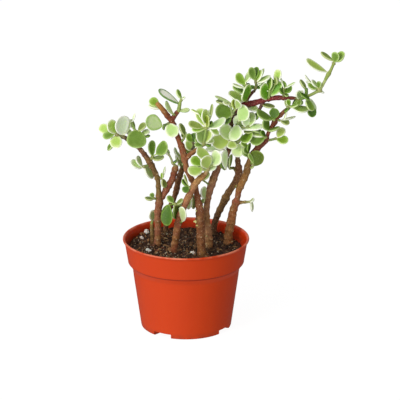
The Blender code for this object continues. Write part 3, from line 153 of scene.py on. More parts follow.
# green shoots with their leaves. "twigs" are tubes as above; a leaf is
# (foot across, foot down, tip across, tip down, apparent width, tip set back, tone)
# with an eighth entry where its width is not the usual share of its length.
# The tone letters are the leaves' own variegation, but some were set paler for leaves that fall in shade and darker for
# leaves that face the key lamp, so they also hold painted light.
SHOOTS = {
    "shoot_far_left": {
        "twigs": [[(124.6, 137.4, -8, 1.6), (119.5, 135.7, -9, 1.4), (115.2, 133.6, -10, 1.3)]],
        "leaves": [(122.6, 135.0, 121.8, 115.8, 14.2, -3, "X"), (124.4, 134.4, 126.6, 117.0, 8.0, 2, "P", 0.6), (116.4, 132.8, 108.4, 121.0, 10.8, -6, "M", 0.7),
                   (117.2, 135.2, 115.4, 148.4, 12.2, -6, "M"), (113.2, 131.8, 99.0, 126.8, 10.6, 5, "M", 0.6),
                   (114.6, 133.8, 102.6, 137.0, 7.8, -3, "H", 0.6), (114.2, 143.2, 107.5, 149.2, 4.4, 5, "H", 0.6)],
    },
    "shoot_left_big": {
        "twigs": [[(132.4, 142.8, -6, 1.3), (134.2, 137, -5, 1.2), (136.2, 131.6, -4, 1.1)],
                  [(136.0, 132.2, -4, 0.9), (133.2, 126, -3, 0.8), (131.4, 121.8, -2, 0.7)],
                  [(135.6, 133.4, -4, 0.9), (140.4, 134.6, -3, 0.8), (143.4, 136.4, -3, 0.7)]],
        "leaves": [(136.0, 130.0, 136.6, 148.4, 19.6, -9, "H"), (138.6, 131.2, 145.4, 122.8, 5.6, 3, "O"),
                   (134.6, 130.0, 131.2, 119.4, 4.0, 3, "O", 0.5), (131.4, 122.6, 135.3, 112.7, 2.2, 1, "W", 0.3),
                   (132.6, 136.0, 126.2, 128.6, 5.2, 5, "P", 0.6),
                   (141.4, 134.4, 149.5, 130.6, 5.6, 2, "P"), (142.8, 136.4, 150.4, 135.8, 2.0, 1, "D")],
    },
    "shoot_left_upper": {
        "twigs": [[(149.6, 161.0, -1, 1.4), (152.3, 157.2, -2, 1.2), (153.2, 155.2, -2.5, 1.0)]],
        "leaves": [(156.4, 154.2, 167.0, 142.8, 11.4, -4, "H", 0.74), (152.4, 156.4, 151.3, 140.2, 7.4, 1, "T", 0.6),
                   (152.6, 158.4, 164.1, 158.0, 5.0, -3, "O")],
    },
    "shoot_left_lower": {
        "twigs": [[(150.6, 164.6, 0, 1.3), (146.0, 165.8, -1, 1.1), (142.4, 167.3, -2, 0.9)]],
        "leaves": [(144.2, 166.6, 153.6, 176.6, 7.8, 8, "P", 0.6), (142.0, 168.0, 130.4, 161.7, 6.8, -2, "W"),
                   (142.0, 167.0, 137.1, 155.8, 4.8, 2, "P")],
    },
    "shoot_left_tiny": {
        "twigs": [[(158.4, 178.0, 3, 1.0), (162.0, 178.5, 2, 0.8)]],
        "leaves": [(162.2, 179.0, 165.9, 187.4, 5.0, 1, "O"), (161.8, 178.3, 162.8, 173.0, 3.0, -1, "G"),
                   (162.4, 177.4, 165.4, 166.3, 2.0, 2, "P", 0.3)],
    },
    "shoot_left_dark": {
        "twigs": [[(158.6, 199.8, 6, 1.2), (155.0, 198.6, 4.5, 1.0), (152.4, 198.0, 3.5, 0.9)]],
        "leaves": [(154.0, 198.4, 144.8, 198.6, 3.4, -2, "O"), (153.0, 197.8, 151.4, 192.8, 5.0, 2, "T")],
    },
    "shoot_left_base": {
        "twigs": [[(151.8, 223.6, 11.5, 1.3), (152.6, 219.8, 11, 1.1)]],
        "leaves": [(152.6, 220.4, 151.8, 210.0, 8.0, -2, "P")],
    },
    "shoot_low": {
        "twigs": [[(184.6, 206.2, -12, 1.2), (178.6, 205.0, -13, 1.1), (173.6, 204.0, -14, 1.1)]],
        "leaves": [(169.2, 204.8, 166.6, 225.6, 11.2, -4, "D", 0.66), (174.6, 205.0, 177.0, 216.8, 8.6, 2, "T"),
                   (167.0, 205.2, 162.6, 217.6, 6.0, 4, "D", 0.6),
                   (172.8, 203.2, 168.0, 195.6, 6.0, 4, "H"), (176.6, 204.2, 183.4, 199.4, 4.0, 3, "O")],
    },
    "leaf_low_pale": {
        "twigs": [[(179.4, 222.6, -10, 1.1), (182.6, 221.4, -15.5, 0.9)]],
        "leaves": [(182.5, 221.6, 183.8, 207.4, 7.4, -7, "C", 0.6)],
    },
    "shoot_crossing": {
        "twigs": [[(192.0, 189.6, -14, 1.1), (188.6, 187.0, -16.5, 0.9)]],
        "leaves": [(188.8, 187.4, 182.5, 191.2, 7.0, -2, "D"), (188.0, 186.6, 182.0, 179.2, 3.4, 2, "D"),
                   (188.0, 185.0, 184.2, 174.3, 2.4, 4, "O", 0.3)],
    },
    "shoot_between": {
        "twigs": [[(197.6, 199.6, -7, 1.1), (192.8, 198.6, -4, 0.9)]],
        "leaves": [(192.0, 199.4, 187.2, 208.0, 6.0, 3, "P"), (192.8, 199.0, 194.8, 207.6, 5.0, 4, "O"),
                   (193.0, 198.8, 190.8, 194.2, 2.8, 1, "P")],
    },
    "shoot_centre_low": {
        "twigs": [[(208.0, 198.6, 6.5, 1.1), (204.6, 197.8, 4, 0.9)]],
        "leaves": [(204.8, 197.8, 201.8, 187.8, 6.6, 1, "P"), (204.6, 198.6, 201.4, 203.4, 3.6, 0, "O")],
    },
    "shoot_centre_thin": {
        "twigs": [[(211.0, 186.6, 7, 0.9), (206.6, 182.8, 4, 0.8), (202.6, 180.0, 1, 0.7)]],
        "leaves": [(203.4, 180.4, 208.2, 171.8, 5.8, 4, "O")],
    },
    "shoot_second_tip": {
        "twigs": [[(176.2, 166.2, 6.5, 1.3), (172.9, 163.4, 5, 1.1), (171.2, 158.8, 4, 0.9), (168.3, 153.4, 3, 0.8)]],
        "leaves": [(168.6, 155.6, 166.2, 148.6, 3.6, 1, "P"), (172.8, 163.0, 177.2, 161.2, 1.8, -1, "D")],
    },
    "shoot_back_left": {
        "twigs": [[(182.4, 168.4, 18.5, 1.6), (181.0, 164.6, 13, 1.3), (179.2, 159.6, 9, 1.0)]],
        "leaves": [(179.6, 163.2, 176.0, 152.4, 5.0, -1, "M"), (181.4, 166.0, 179.6, 160.8, 3.4, -3, "P"),
                   (178.8, 157.6, 174.2, 147.5, 2.4, 1, "P"), (180.4, 163.0, 181.2, 157.6, 2.0, -2, "P")],
    },
    "shoot_main_right": {
        "twigs": [[(180.0, 142.0, -3, 1.3), (183.6, 138.8, -5, 1.0), (184.5, 135.0, -5, 0.8)]],
        "leaves": [(184.0, 138.2, 184.3, 131.4, 4.0, -2, "G"), (184.6, 135.6, 179.2, 123.5, 4.6, 2, "O")],
    },
    "shoot_main_left": {
        "twigs": [[(171.6, 122.0, -3, 1.2), (167.6, 123.8, -5, 1.0), (163.0, 126.2, -6, 1.2)]],
        "leaves": [(162.0, 126.4, 145.6, 119.6, 15.4, -4, "B"), (168.1, 123.8, 175.6, 136.8, 13.2, -6, "P"),
                   (163.2, 125.8, 164.4, 128.8, 3.0, -2, "D")],
    },
    "shoot_cut_end": {
        "twigs": [[(162.4, 110.2, -4.4, 1.2), (159.4, 106.8, -0.5, 1.0)]],
        "leaves": [(158.8, 105.6, 149.6, 99.2, 9.0, 2, "G"), (160.0, 109.0, 148.2, 105.4, 3.6, 0, "P", 0.5)],
    },
    "shoot_main_top": {
        "twigs": [[(178.8, 110.2, -1, 1.7), (179.4, 106.2, -1.5, 1.5), (180.2, 102.4, -2, 1.2), (181.9, 98.8, -2.5, 0.9)]],
        "leaves": [(179.5, 104.2, 158.2, 90.0, 7.6, -3, "V", 0.5), (179.5, 110.8, 189.8, 110.3, 5.2, -2, "E"),
                   (181.4, 98.8, 176.7, 89.4, 3.4, 1, "G"), (182.0, 99.2, 185.5, 97.0, 2.0, 1, "P")],
    },
    "leaf_main_fork": {
        "twigs": [[(175.6, 115.2, -1.8, 1.0), (173.0, 114.2, -4.5, 0.9)]],
        "leaves": [(173.6, 114.8, 165.5, 101.1, 5.2, -2, "E", 0.6)],
    },
    "shoot_side": {
        "twigs": [[(190.6, 153.8, -5, 1.1), (191.0, 150.6, -4, 0.9), (194.0, 146.0, -3, 0.9), (192.4, 141.6, -3, 0.8)]],
        "leaves": [(190.4, 150.6, 186.8, 139.8, 8.2, -3, "M"), (192.8, 142.2, 195.2, 133.0, 8.6, 3, "D"),
                   (192.0, 141.4, 186.0, 135.0, 7.0, 1, "G")],
    },
    "shoot_rosette": {
        "twigs": [[(198.6, 148.2, -8.6, 1.5), (202.8, 144.6, -10, 1.3), (204.2, 140.2, -11.5, 1.2), (205.4, 133, -12.5, 1.2), (206.5, 126.4, -13, 1.0)]],
        "leaves": [(204.0, 144.6, 199.0, 127.4, 11.6, -3, "P"), (204.2, 126.0, 198.8, 108.2, 11.2, 5, "M", 0.62),
                   (205.0, 143.4, 210.6, 129.6, 7.0, -1, "M", 0.5), (208.4, 127.2, 225.9, 120.6, 7.8, -5, "W"),
                   (203.2, 144.3, 196.2, 137.4, 8.2, 5, "T"), (206.5, 126.2, 209.0, 116.9, 7.2, -5, "Y"),
                   (205.4, 123.4, 203.8, 109.2, 6.6, 0, "M"), (203.2, 127.6, 188.2, 123.0, 7.4, -2, "O", 0.5),
                   (206.8, 124.0, 208.9, 110.2, 6.0, 8, "W"), (204.2, 129.4, 191.6, 130.0, 4.8, -3, "G", 0.5),
                   (209.0, 127.8, 219.0, 133.8, 6.0, 4, "M", 0.6), (204.2, 144.0, 211.2, 144.2, 4.6, 3, "D"),
                   (207.6, 126.8, 212.7, 121.4, 3.2, 0, "D"),
                   (198.8, 114.4, 190.8, 109.4, 2.8, 6, "M", 0.4), (211.0, 117.0, 212.2, 103.8, 2.8, 8, "O", 0.3),
                   (203.8, 145.0, 194.4, 145.6, 4.6, 3, "H", 0.5), (207.2, 143.4, 213.4, 139.4, 6.0, 7, "P", 0.6)],
    },
    "shoot_top_left": {
        "twigs": [[(235.0, 113.2, 7, 1.4), (232.3, 112.8, 3, 1.2), (230.3, 105.4, 1.5, 1.0), (229.7, 102.4, 1, 0.8)],
                  [(232.5, 112.8, 3, 1.1), (231.1, 117.8, 2, 0.9)], [(232.5, 112.6, 3, 1.1), (236.0, 108.4, 2, 0.9)]],
        "leaves": [(232.0, 114.0, 215.3, 110.0, 15.4, -5, "H"), (234.6, 108.8, 233.4, 99.0, 6.6, -3, "Y"),
                   (236.2, 108.6, 239.0, 101.0, 6.0, -2, "P"), (231.0, 117.8, 225.2, 124.0, 4.4, -1, "D"),
                   (230.0, 104.8, 222.6, 102.0, 3.2, 3, "C", 0.5), (229.8, 104.6, 216.1, 100.7, 3.6, 5, "O"),
                   (229.8, 102.4, 214.7, 96.1, 1.8, 0, "E", 0.3)],
    },
    "shoot_crest_left": {
        "twigs": [[(246.6, 101.6, 5, 1.4), (244.9, 96.0, 2, 1.1), (245.5, 89.0, 1, 0.9), (246.3, 84.0, 1, 0.8)]],
        "leaves": [(246.4, 99.8, 245.6, 86.2, 10.2, -9, "N", 0.72), (244.6, 101.2, 227.9, 93.6, 8.0, -2, "M"),
                   (244.0, 93.2, 232.8, 85.6, 6.4, 2, "H"), (243.8, 88.0, 232.2, 83.8, 2.4, 5, "C", 0.4), (245.2, 84.8, 235.9, 73.8, 8.4, -1, "G", 0.65),
                   (245.6, 82.6, 249.2, 71.4, 5.4, 4, "P"), (246.2, 87.4, 243.6, 81.8, 5.0, -3, "D"),
                   (246.4, 85.8, 250.0, 83.8, 2.8, 1, "D")],
    },
    "shoot_crest_fan": {
        "twigs": [[(254.5, 90.5, 3, 1.1), (256.0, 86.4, 2, 1.1), (255.5, 79.6, 1, 0.9)]],
        "leaves": [(254.6, 80.2, 249.9, 67.4, 7.6, -1, "H", 0.6), (255.4, 80.0, 256.6, 66.9, 6.4, 1, "D", 0.6),
                   (256.2, 82.4, 262.1, 69.6, 5.0, 4, "M"), (257.6, 82.6, 270.8, 76.0, 4.4, 1, "P"),
                   (256.4, 86.0, 266.8, 79.4, 2.2, -5, "C", 0.3), (255.8, 86.6, 243.0, 90.6, 1.6, -5, "C", 0.25),
                   (256.0, 88.0, 260.4, 85.4, 4.8, -2, "D"), (255.4, 87.6, 249.5, 86.8, 4.2, -1, "D"),
                   (256.6, 82.0, 263.9, 68.4, 2.0, 8, "G", 0.3)],
    },
    "shoot_crest_round": {
        "twigs": [[(268.6, 99.8, 3.5, 1.4), (269.0, 95.6, 1, 1.2), (269.6, 89.6, 0, 0.9)],
                  [(269.1, 95.4, 1, 0.9), (273.0, 89.0, 1, 0.8), (275.7, 82.8, 1, 0.7)]],
        "leaves": [(269.8, 96.4, 271.4, 79.0, 8.8, 1, "D", 0.5), (267.6, 99.8, 261.8, 84.6, 10.6, -8, "N", 0.66),
                   (271.4, 96.2, 280.6, 81.6, 10.0, -3, "N", 0.6), (275.8, 82.8, 279.0, 69.2, 7.2, 3, "M"),
                   (269.8, 89.6, 270.2, 77.0, 5.4, 4, "G"), (268.8, 91.6, 260.6, 82.8, 5.0, 6, "N"),
                   (275.3, 84.3, 276.9, 77.9, 4.0, -2, "O")],
    },
    "shoot_crest_right": {
        "twigs": [[(283.5, 98.4, 2, 1.4), (283.8, 93.0, 0, 1.1), (284.0, 87.8, -1, 0.8)]],
        "leaves": [(284.0, 92.2, 292.4, 88.0, 5.8, -3, "D"), (283.8, 92.6, 279.2, 89.7, 4.2, -2, "D"),
                   (284.0, 91.6, 281.6, 80.9, 3.6, 1, "D"), (284.0, 88.4, 280.6, 77.6, 1.6, 4, "P", 0.25),
                   (284.8, 88.2, 295.4, 82.2, 2.2, 2, "P", 0.3), (284.2, 94.0, 288.5, 96.4, 3.2, -2, "H")],
    },
    "shoot_end_left": {
        "twigs": [[(295.9, 98.4, 0, 1.3), (300.3, 98.9, -1, 1.1)]],
        "leaves": [(300.0, 98.8, 297.2, 91.0, 6.2, -4, "P", 0.7), (300.0, 99.2, 298.2, 106.2, 5.6, -3, "H"),
                   (300.6, 98.6, 301.4, 90.9, 3.0, 1, "M"), (300.4, 99.8, 302.0, 105.0, 3.0, 3, "P"),
                   (297.4, 99.2, 292.4, 106.2, 3.2, 4, "D")],
    },
    "shoot_end_node": {
        "twigs": [[(301.3, 98.8, -1, 1.2), (305.6, 97.0, -1.5, 1.5), (308.0, 96.0, -1.5, 1.4)],
                  [(305.6, 97.0, -1.5, 1.3), (306.4, 92.0, -1.5, 1.5), (306.1, 87.6, -1, 1.2)],
                  [(306.2, 97.0, -1.5, 1.1), (308.4, 100.6, -2, 1.0), (310.0, 106.4, -2.5, 0.9)]],
        "leaves": [(308.0, 96.4, 301.9, 95.8, 6.8, -5, "D"), (309.8, 108.2, 292.6, 108.2, 7.8, -6, "M"),
                   (307.8, 98.6, 309.9, 110.8, 6.8, -3, "G"), (309.8, 105.6, 313.4, 117.1, 8.6, -1, "D"),
                   (309.0, 98.8, 316.2, 109.6, 5.4, 7, "W", 0.5), (306.1, 88.8, 299.5, 80.1, 3.2, 0, "O")],
    },
    "shoot_long_low": {
        "twigs": [[(309.0, 95.6, -1.5, 1.3), (314.0, 93.2, -1.5, 1.3), (318.8, 90.1, -1.5, 1.6), (321.4, 86.9, -1.5, 1.4),
                   (324.0, 82.6, -1.5, 1.3), (326.0, 78.8, -1.5, 1.4)]],
        "leaves": [(317.2, 88.4, 307.4, 85.2, 5.0, -2, "G"), (318.8, 88.0, 320.0, 81.2, 4.8, 2, "T"),
                   (317.0, 87.6, 311.8, 79.8, 3.8, 3, "P"), (317.8, 88.8, 306.0, 81.2, 1.8, 6, "P", 0.3),
                   (318.4, 88.8, 304.8, 74.7, 1.3, 8, "C", 0.2), (319.4, 90.0, 322.8, 92.0, 1.5, -1, "P")],
    },
    "shoot_long_tip": {
        "twigs": [[(326.35, 78.1, -1.5, 1.4), (328.5, 74.2, -1.5, 1.7), (330.3, 71.2, -1.5, 1.3), (332.2, 67.0, -1.5, 1.2), (334.2, 62.2, -1.5, 1.1)]],
        "leaves": [(327.0, 72.2, 305.8, 59.4, 6.8, -2, "M", 0.4), (335.6, 61.4, 344.0, 52.0, 7.4, 2, "G", 0.7),
                   (334.2, 61.8, 337.0, 52.2, 8.0, -3, "H", 0.8), (333.2, 61.0, 320.6, 52.2, 4.0, 1, "O", 0.45),
                   (335.8, 61.8, 344.2, 56.6, 3.2, -3, "H", 0.5)],
    },
    "shoot_hanging": {
        "twigs": [[(262.8, 102.9, 3.4, 1.5), (259.4, 109.6, 2.6, 1.3), (258.0, 112.4, 2, 1.0)]],
        "leaves": [(262.2, 104.6, 274.8, 107.4, 4.2, -2, "O"), (258.6, 110.2, 248.8, 107.2, 6.2, 2, "P"),
                   (258.0, 112.0, 256.2, 120.0, 3.8, -1, "D")],
    },
    "shoot_right_upper": {
        "twigs": [[(274.5, 121.8, 1, 1.3), (273.6, 118.8, -2, 1.1)]],
        "leaves": [(273.6, 118.6, 274.6, 108.0, 10.0, 1, "D"), (273.2, 119.6, 256.2, 111.5, 7.4, -4, "H")],
    },
    "shoot_right_three": {
        "twigs": [[(269.8, 130.6, 1.8, 1.2), (268.3, 130.2, -2, 1.0)]],
        "leaves": [(268.6, 130.4, 264.2, 118.7, 7.6, -2, "T"), (268.9, 130.2, 278.9, 128.6, 3.2, -2, "H")],
    },
    "shoot_right_inner": {
        "twigs": [[(267.3, 137.6, 2, 1.2), (264.6, 137.0, -1, 1.0)]],
        "leaves": [(264.8, 138.0, 249.8, 141.0, 11.0, -1, "H"), (264.0, 136.6, 248.8, 131.9, 4.6, 3, "M", 0.5),
                   (265.2, 136.4, 260.2, 131.6, 4.6, -2, "D")],
    },
    "shoot_right_pair": {
        "twigs": [[(266.8, 140.2, 2.4, 1.3), (272.0, 139.6, 1, 1.1), (277.0, 138.2, 0, 1.0)]],
        "leaves": [(277.6, 137.6, 283.9, 127.8, 8.6, 3, "M"), (276.7, 139.1, 288.2, 141.7, 8.0, -4, "G")],
    },
    "shoot_right_thin": {
        "twigs": [[(276.4, 119.2, 1, 1.1), (280.6, 120.9, 0, 0.9)]],
        "leaves": [(280.4, 120.8, 289.5, 123.6, 5.2, -1, "O"), (280.6, 120.2, 295.9, 116.5, 1.7, 4, "C", 0.25)],
    },
    "shoot_right_tip": {
        "twigs": [[(288.4, 108.6, 0, 1.2), (289.0, 106.2, -3.5, 1.0), (286.8, 108.6, -4, 0.8)]],
        "leaves": [(289.0, 106.2, 287.4, 99.2, 4.8, 1, "G"), (289.2, 106.5, 298.0, 105.4, 2.6, -3, "G", 0.4),
                   (287.0, 109.4, 283.9, 120.4, 1.7, -1, "P", 0.25), (286.8, 107.6, 285.0, 99.5, 1.6, -1, "O", 0.25),
                   (287.4, 108.2, 285.8, 112.0, 3.0, 1, "D")],
    },
    "shoot_right_round": {
        "twigs": [[(250.0, 162.0, 6.2, 1.4), (254.4, 165.2, 0, 1.1)]],
        "leaves": [(254.8, 165.8, 259.2, 150.9, 14.6, -3, "R"), (254.2, 164.8, 248.5, 153.4, 4.2, -3, "H", 0.4),
                   (253.8, 165.4, 250.8, 169.0, 1.9, -1, "O")],
    },
    "shoot_heart_top": {
        "twigs": [[(230.9, 131.4, 9.4, 1.6), (236.0, 128.2, 3, 1.3), (241.0, 127.2, 0, 1.1), (249.6, 126.6, -1, 0.9)],
                  [(235.8, 128.4, 3, 1.2), (238.9, 121.4, -2, 1.0)]],
        "leaves": [(238.9, 120.6, 246.2, 106.0, 13.2, -4, "P"), (249.4, 126.8, 252.2, 112.0, 9.8, 5, "P"),
                   (241.6, 129.4, 263.2, 126.2, 6.4, -6, "W", 0.42), (245.4, 127.4, 237.4, 119.4, 8.6, 7, "P"),
                   (246.6, 127.0, 244.4, 116.0, 8.6, 11, "W"), (237.0, 124.4, 233.6, 141.2, 12.2, -8, "W"), (235.4, 126.6, 237.4, 115.4, 6.8, 6, "W", 0.6),
                   (244.2, 132.4, 252.8, 129.4, 5.6, 9, "O", 0.7), (250.2, 128.6, 261.6, 131.6, 4.4, 4, "H", 0.5)],
    },
    "shoot_heart": {
        "twigs": [[(237.6, 158.8, 18.3, 1.9), (237.3, 150, 12, 1.6), (236.6, 142.6, 5, 1.4), (230.6, 141.3, 1, 1.1)],
                  [(236.7, 143.0, 5, 1.2), (240.7, 139.7, 2, 1.0)]],
        "leaves": [(228.6, 141.6, 211.5, 141.9, 15.0, -5, "M"),
                   (239.0, 143.6, 237.0, 157.2, 12.4, -3, "W"), (231.0, 140.2, 222.8, 124.6, 13.2, 1, "P"),
                   (240.2, 139.2, 253.0, 135.6, 9.8, -6, "G"), (231.4, 141.0, 233.0, 149.4, 10.4, -7, "M"), (224.4, 149.6, 206.4, 148.4, 6.4, 12, "W", 0.5)],
    },
    "shoot_right_low": {
        "twigs": [[(251.0, 157.8, 5.6, 1.2), (248.0, 156.6, 1.5, 1.0), (248.6, 151.4, 0, 0.8)]],
        "leaves": [(248.0, 156.8, 243.9, 146.6, 7.6, -2, "H"), (248.6, 152.0, 249.0, 143.2, 4.6, -1, "D"),
                   (248.2, 153.6, 243.2, 148.4, 4.6, 1, "H", 0.6), (248.4, 148.6, 240.6, 142.6, 5.0, 9, "G", 0.6)],
    },
    "shoot_front": {
        "twigs": [[(205.8, 173.2, -15, 2.0), (209.0, 166.4, -15, 1.4), (210.0, 158, -14, 1.1), (209.7, 155.0, -13.5, 0.9)],
                  [(207.4, 170.4, -15, 1.2), (202.6, 168.8, -15, 1.0), (200.3, 165.6, -14, 0.9)],
                  [(209.0, 166.6, -15, 1.1), (213.5, 166.0, -14, 1.0)]],
        "leaves": [(208.2, 168.4, 204.0, 156.2, 11.4, -9, "M"), (206.8, 170.4, 215.4, 163.6, 9.6, -6, "W"), (213.5, 165.6, 218.3, 150.9, 11.0, -3, "W"),
                   (209.4, 155.6, 195.9, 150.6, 11.0, -4, "M"), (202.4, 169.4, 187.8, 172.2, 10.8, -5, "M"),
                   (200.4, 165.4, 191.0, 157.8, 9.4, 1, "G"), (202.8, 169.0, 195.8, 165.2, 5.0, 4, "T")],
    },
    "shoot_centre_top": {
        "twigs": [[(220.2, 164.0, 8.6, 1.3), (222.6, 167.6, 5.5, 1.1), (225.6, 169.4, 3, 1.0)]],
        "leaves": [(226.0, 169.8, 225.0, 149.6, 6.8, 2, "W", 0.5), (224.4, 169.4, 221.6, 160.6, 5.2, -4, "D")],
    },
    "shoot_back_right": {
        "twigs": [[(232.8, 168.0, 18.3, 1.2), (229.2, 168.4, 15, 1.0)]],
        "leaves": [(229.4, 168.2, 229.9, 155.4, 4.8, -5, "G"), (229.4, 168.2, 223.4, 152.4, 6.4, 2, "W", 0.5)],
    },
    "shoot_right_withered": {
        "twigs": [[(247.3, 202.0, 9.5, 1.2), (251.5, 201.6, 9, 0.9)]],
        "leaves": [(251.0, 201.6, 252.4, 211.6, 2.4, 1, "C"), (250.4, 201.6, 254.0, 199.8, 2.6, -1, "P")],
    },
}

# perlite grains on the soil: (across, down, half-sizes)
GRAINS = {
    "perlite_1": (146.4, 232.4, (2.8, 2.1, 1.9)),
    "perlite_2": (148.2, 251.2, (2.9, 2.0, 1.7)),
    "perlite_3": (141.6, 238.6, (1.8, 1.6, 1.4)),
    "perlite_4": (192.8, 253.6, (2.2, 1.5, 1.3)),
}


def sight(across, down, y):
    """The point that is seen at (across, down), y behind the pot's axis."""
    c, s = math.cos(LOOK_DOWN), math.sin(LOOK_DOWN)
    side, rise = (across - MIDDLE) / SIGHT, (MIDDLE - down) / SIGHT
    ray = np.array([side, rise * s + c, rise * c - s])
    eye = np.array(STATION)
    return eye + ray * (y - eye[1]) / ray[1]


def sight_at_height(across, down, z):
    c, s = math.cos(LOOK_DOWN), math.sin(LOOK_DOWN)
    side, rise = (across - MIDDLE) / SIGHT, (MIDDLE - down) / SIGHT
    ray = np.array([side, rise * s + c, rise * c - s])
    eye = np.array(STATION)
    return eye + ray * (z - eye[2]) / ray[2]


def soil_height(x, y):
    """Lumpy, higher round the stems and heaped at the back left, lower at the right."""
    r = math.hypot(x, y)
    lumps = (0.5 * math.sin(x * 0.42 + 1.3) * math.cos(y * 0.37 - 0.4) + 0.35 * math.sin(x * 0.81 - y * 0.66)
             + 0.25 * math.cos(x * 0.23 + y * 1.07 + 2.0))
    heap = 2.4 * math.exp(-(((x + 36) / 15) ** 2) - (((y - 31) / 15) ** 2))
    return SOIL_Z - 0.3 + 1.0 * math.exp(-((r / 26) ** 2)) + 0.028 * y + 0.0006 * y * y - 0.026 * x + heap + lumps


def soil_spot(across, down):
    """The place on the soil's surface that is seen at (across, down)."""
    height = SOIL_Z
    for _ in range(30):
        spot = sight_at_height(across, down, height)
        height += 0.5 * (soil_height(spot[0], spot[1]) - height)
    return spot


def unit(v):
    return v / max(float(np.linalg.norm(v)), 1e-9)


def track(points):
    """A tube's table as 3-D points and radii."""
    return np.array([sight(a, d, y) for a, d, y, r in points]), np.array([r for a, d, y, r in points])


def foot_point(shoot, leaf):
    """The place on the shoot's twigs nearest to the leaf's foot as seen, kept off the twig's ends."""
    best = None
    for twig in shoot["twigs"]:
        points, radii = track(twig)
        flat = np.array([(a, d) for a, d, y, r in twig])
        for i in range(len(twig) - 1):
            a, b = flat[i], flat[i + 1]
            span = b - a
            t = float(np.dot(np.array(leaf[:2]) - a, span) / np.dot(span, span))
            t = min(max(t, 0.0), 1.0)
            away = float(np.linalg.norm(a + t * span - np.array(leaf[:2])))
            if best is None or away < best[0] - 1e-9:
                length = float(np.linalg.norm(points[i + 1] - points[i]))
                inset = min(0.9 / length, 0.45)
                if i == 0:
                    t = max(t, inset)
                if i == len(twig) - 2:
                    t = min(t, 1 - inset)
                best = (away, points[i] + t * (points[i + 1] - points[i]))
    return best[1]


def leaf_frame(shoot, leaf, set_back=0.0, turn=0.0, slim=1.0):
    """Foot, root, axis, width direction, upper direction, length and width of a leaf."""
    ax, ad, bx, bd, wide, back = leaf[:6]
    share = leaf[7] if len(leaf) > 7 else 0.84
    root = foot_point(shoot, leaf)
    foot = sight(ax, ad, root[1])
    tip = sight(bx, bd, root[1] + back + set_back)
    axis = unit(tip - foot)
    length = float(np.linalg.norm(tip - foot))
    to_eye = unit(np.array(STATION) - foot)
    face = unit(to_eye - axis * np.dot(to_eye, axis))
    across = unit(np.cross(axis, face))
    scale = float(np.linalg.norm(np.array(STATION) - foot)) / SIGHT
    shown = wide * scale
    full = max(length * share * slim, shown)
    roll = math.acos(min(shown / full, 1.0))
    roll = min(max(roll, math.radians(8)), math.radians(78))
    full = min(full, shown / math.cos(roll) + 0.01)
    choices = []
    for sign in (1, -1):
        r = sign * roll + turn
        choices.append((math.cos(r) * across + math.sin(r) * face, math.cos(r) * face - math.sin(r) * across))
    width_dir, up = max(choices, key=lambda c: c[1][2])
    return root, foot, tip, axis, width_dir, up, length, full


RIM = ((0.27, 0.40), (0.60, 0.50), (0.87, 0.34))


def leaf_hull(frame, start=0.0, grow=0.0):
    """The leaf as a thin faceted lens: rim points and one point above and below."""
    root, foot, tip, axis, width_dir, up, length, width = frame
    left, right = [], []
    for t, half in RIM:
        if t < start:
            continue
        centre = foot + axis * length * t
        left.append(centre + width_dir * (width * half + grow))
        right.append(centre - width_dir * (width * half + grow))
    first = root if start == 0.0 else foot + axis * length * start
    rim = [first] + left + [tip + axis * grow] + right[::-1]
    middle = foot + axis * length * (0.5 if start == 0 else 0.62)
    thick = LEAF_THICK / 2 + grow
    points = np.array(rim + [middle + up * thick, middle - up * thick])
    n = len(rim)
    faces = []
    for i in range(n):
        j = (i + 1) % n
        faces.append((i, j, n))
        faces.append((j, i, n + 1))
    return points, faces


def tube(points, radii, sides, grow=0.0):
    """A closed tube through the points, one ring of corners at each."""
    points = np.asarray(points, float)
    rings, side = [], None
    count = len(points)
    for i in range(count):
        along = unit(unit(points[min(i + 1, count - 1)] - points[max(i - 1, 0)]) if i in (0, count - 1)
                     else unit(points[i + 1] - points[i]) + unit(points[i] - points[i - 1]))
        if side is None:
            side = unit(np.cross(along, (0.3, 1.0, 0.2)))
        side = unit(side - along * np.dot(side, along))
        other = np.cross(along, side)
        r = radii[i] + grow
        rings.append([points[i] + r * (math.cos(2 * math.pi * k / sides) * side + math.sin(2 * math.pi * k / sides) * other)
                      for k in range(sides)])
    if grow:
        rings[0] = [p - unit(points[1] - points[0]) * grow for p in rings[0]]
        rings[-1] = [p + unit(points[-1] - points[-2]) * grow for p in rings[-1]]
    verts = [p for ring in rings for p in ring]
    faces = [tuple(range(sides))[::-1]]
    for i in range(count - 1):
        for k in range(sides):
            a, b = i * sides + k, i * sides + (k + 1) % sides
            faces.append((a, b, b + sides, a + sides))
    faces.append(tuple(range((count - 1) * sides, count * sides)))
    return np.array(verts), faces


def stem_tubes(name):
    """The tubes of a woody stem, the first running on down into the soil."""
    found = []
    for i, line in enumerate(STEMS[name]):
        points, radii = track(line)
        if i == 0:
            down = points[0] + (points[0] - points[1]) * 0.15 - np.array([0, 0, STEM_BURIED])
            points = np.vstack([down, points])
            radii = np.concatenate([[radii[0] * 0.9], radii])
        found.append((points, radii))
    return found


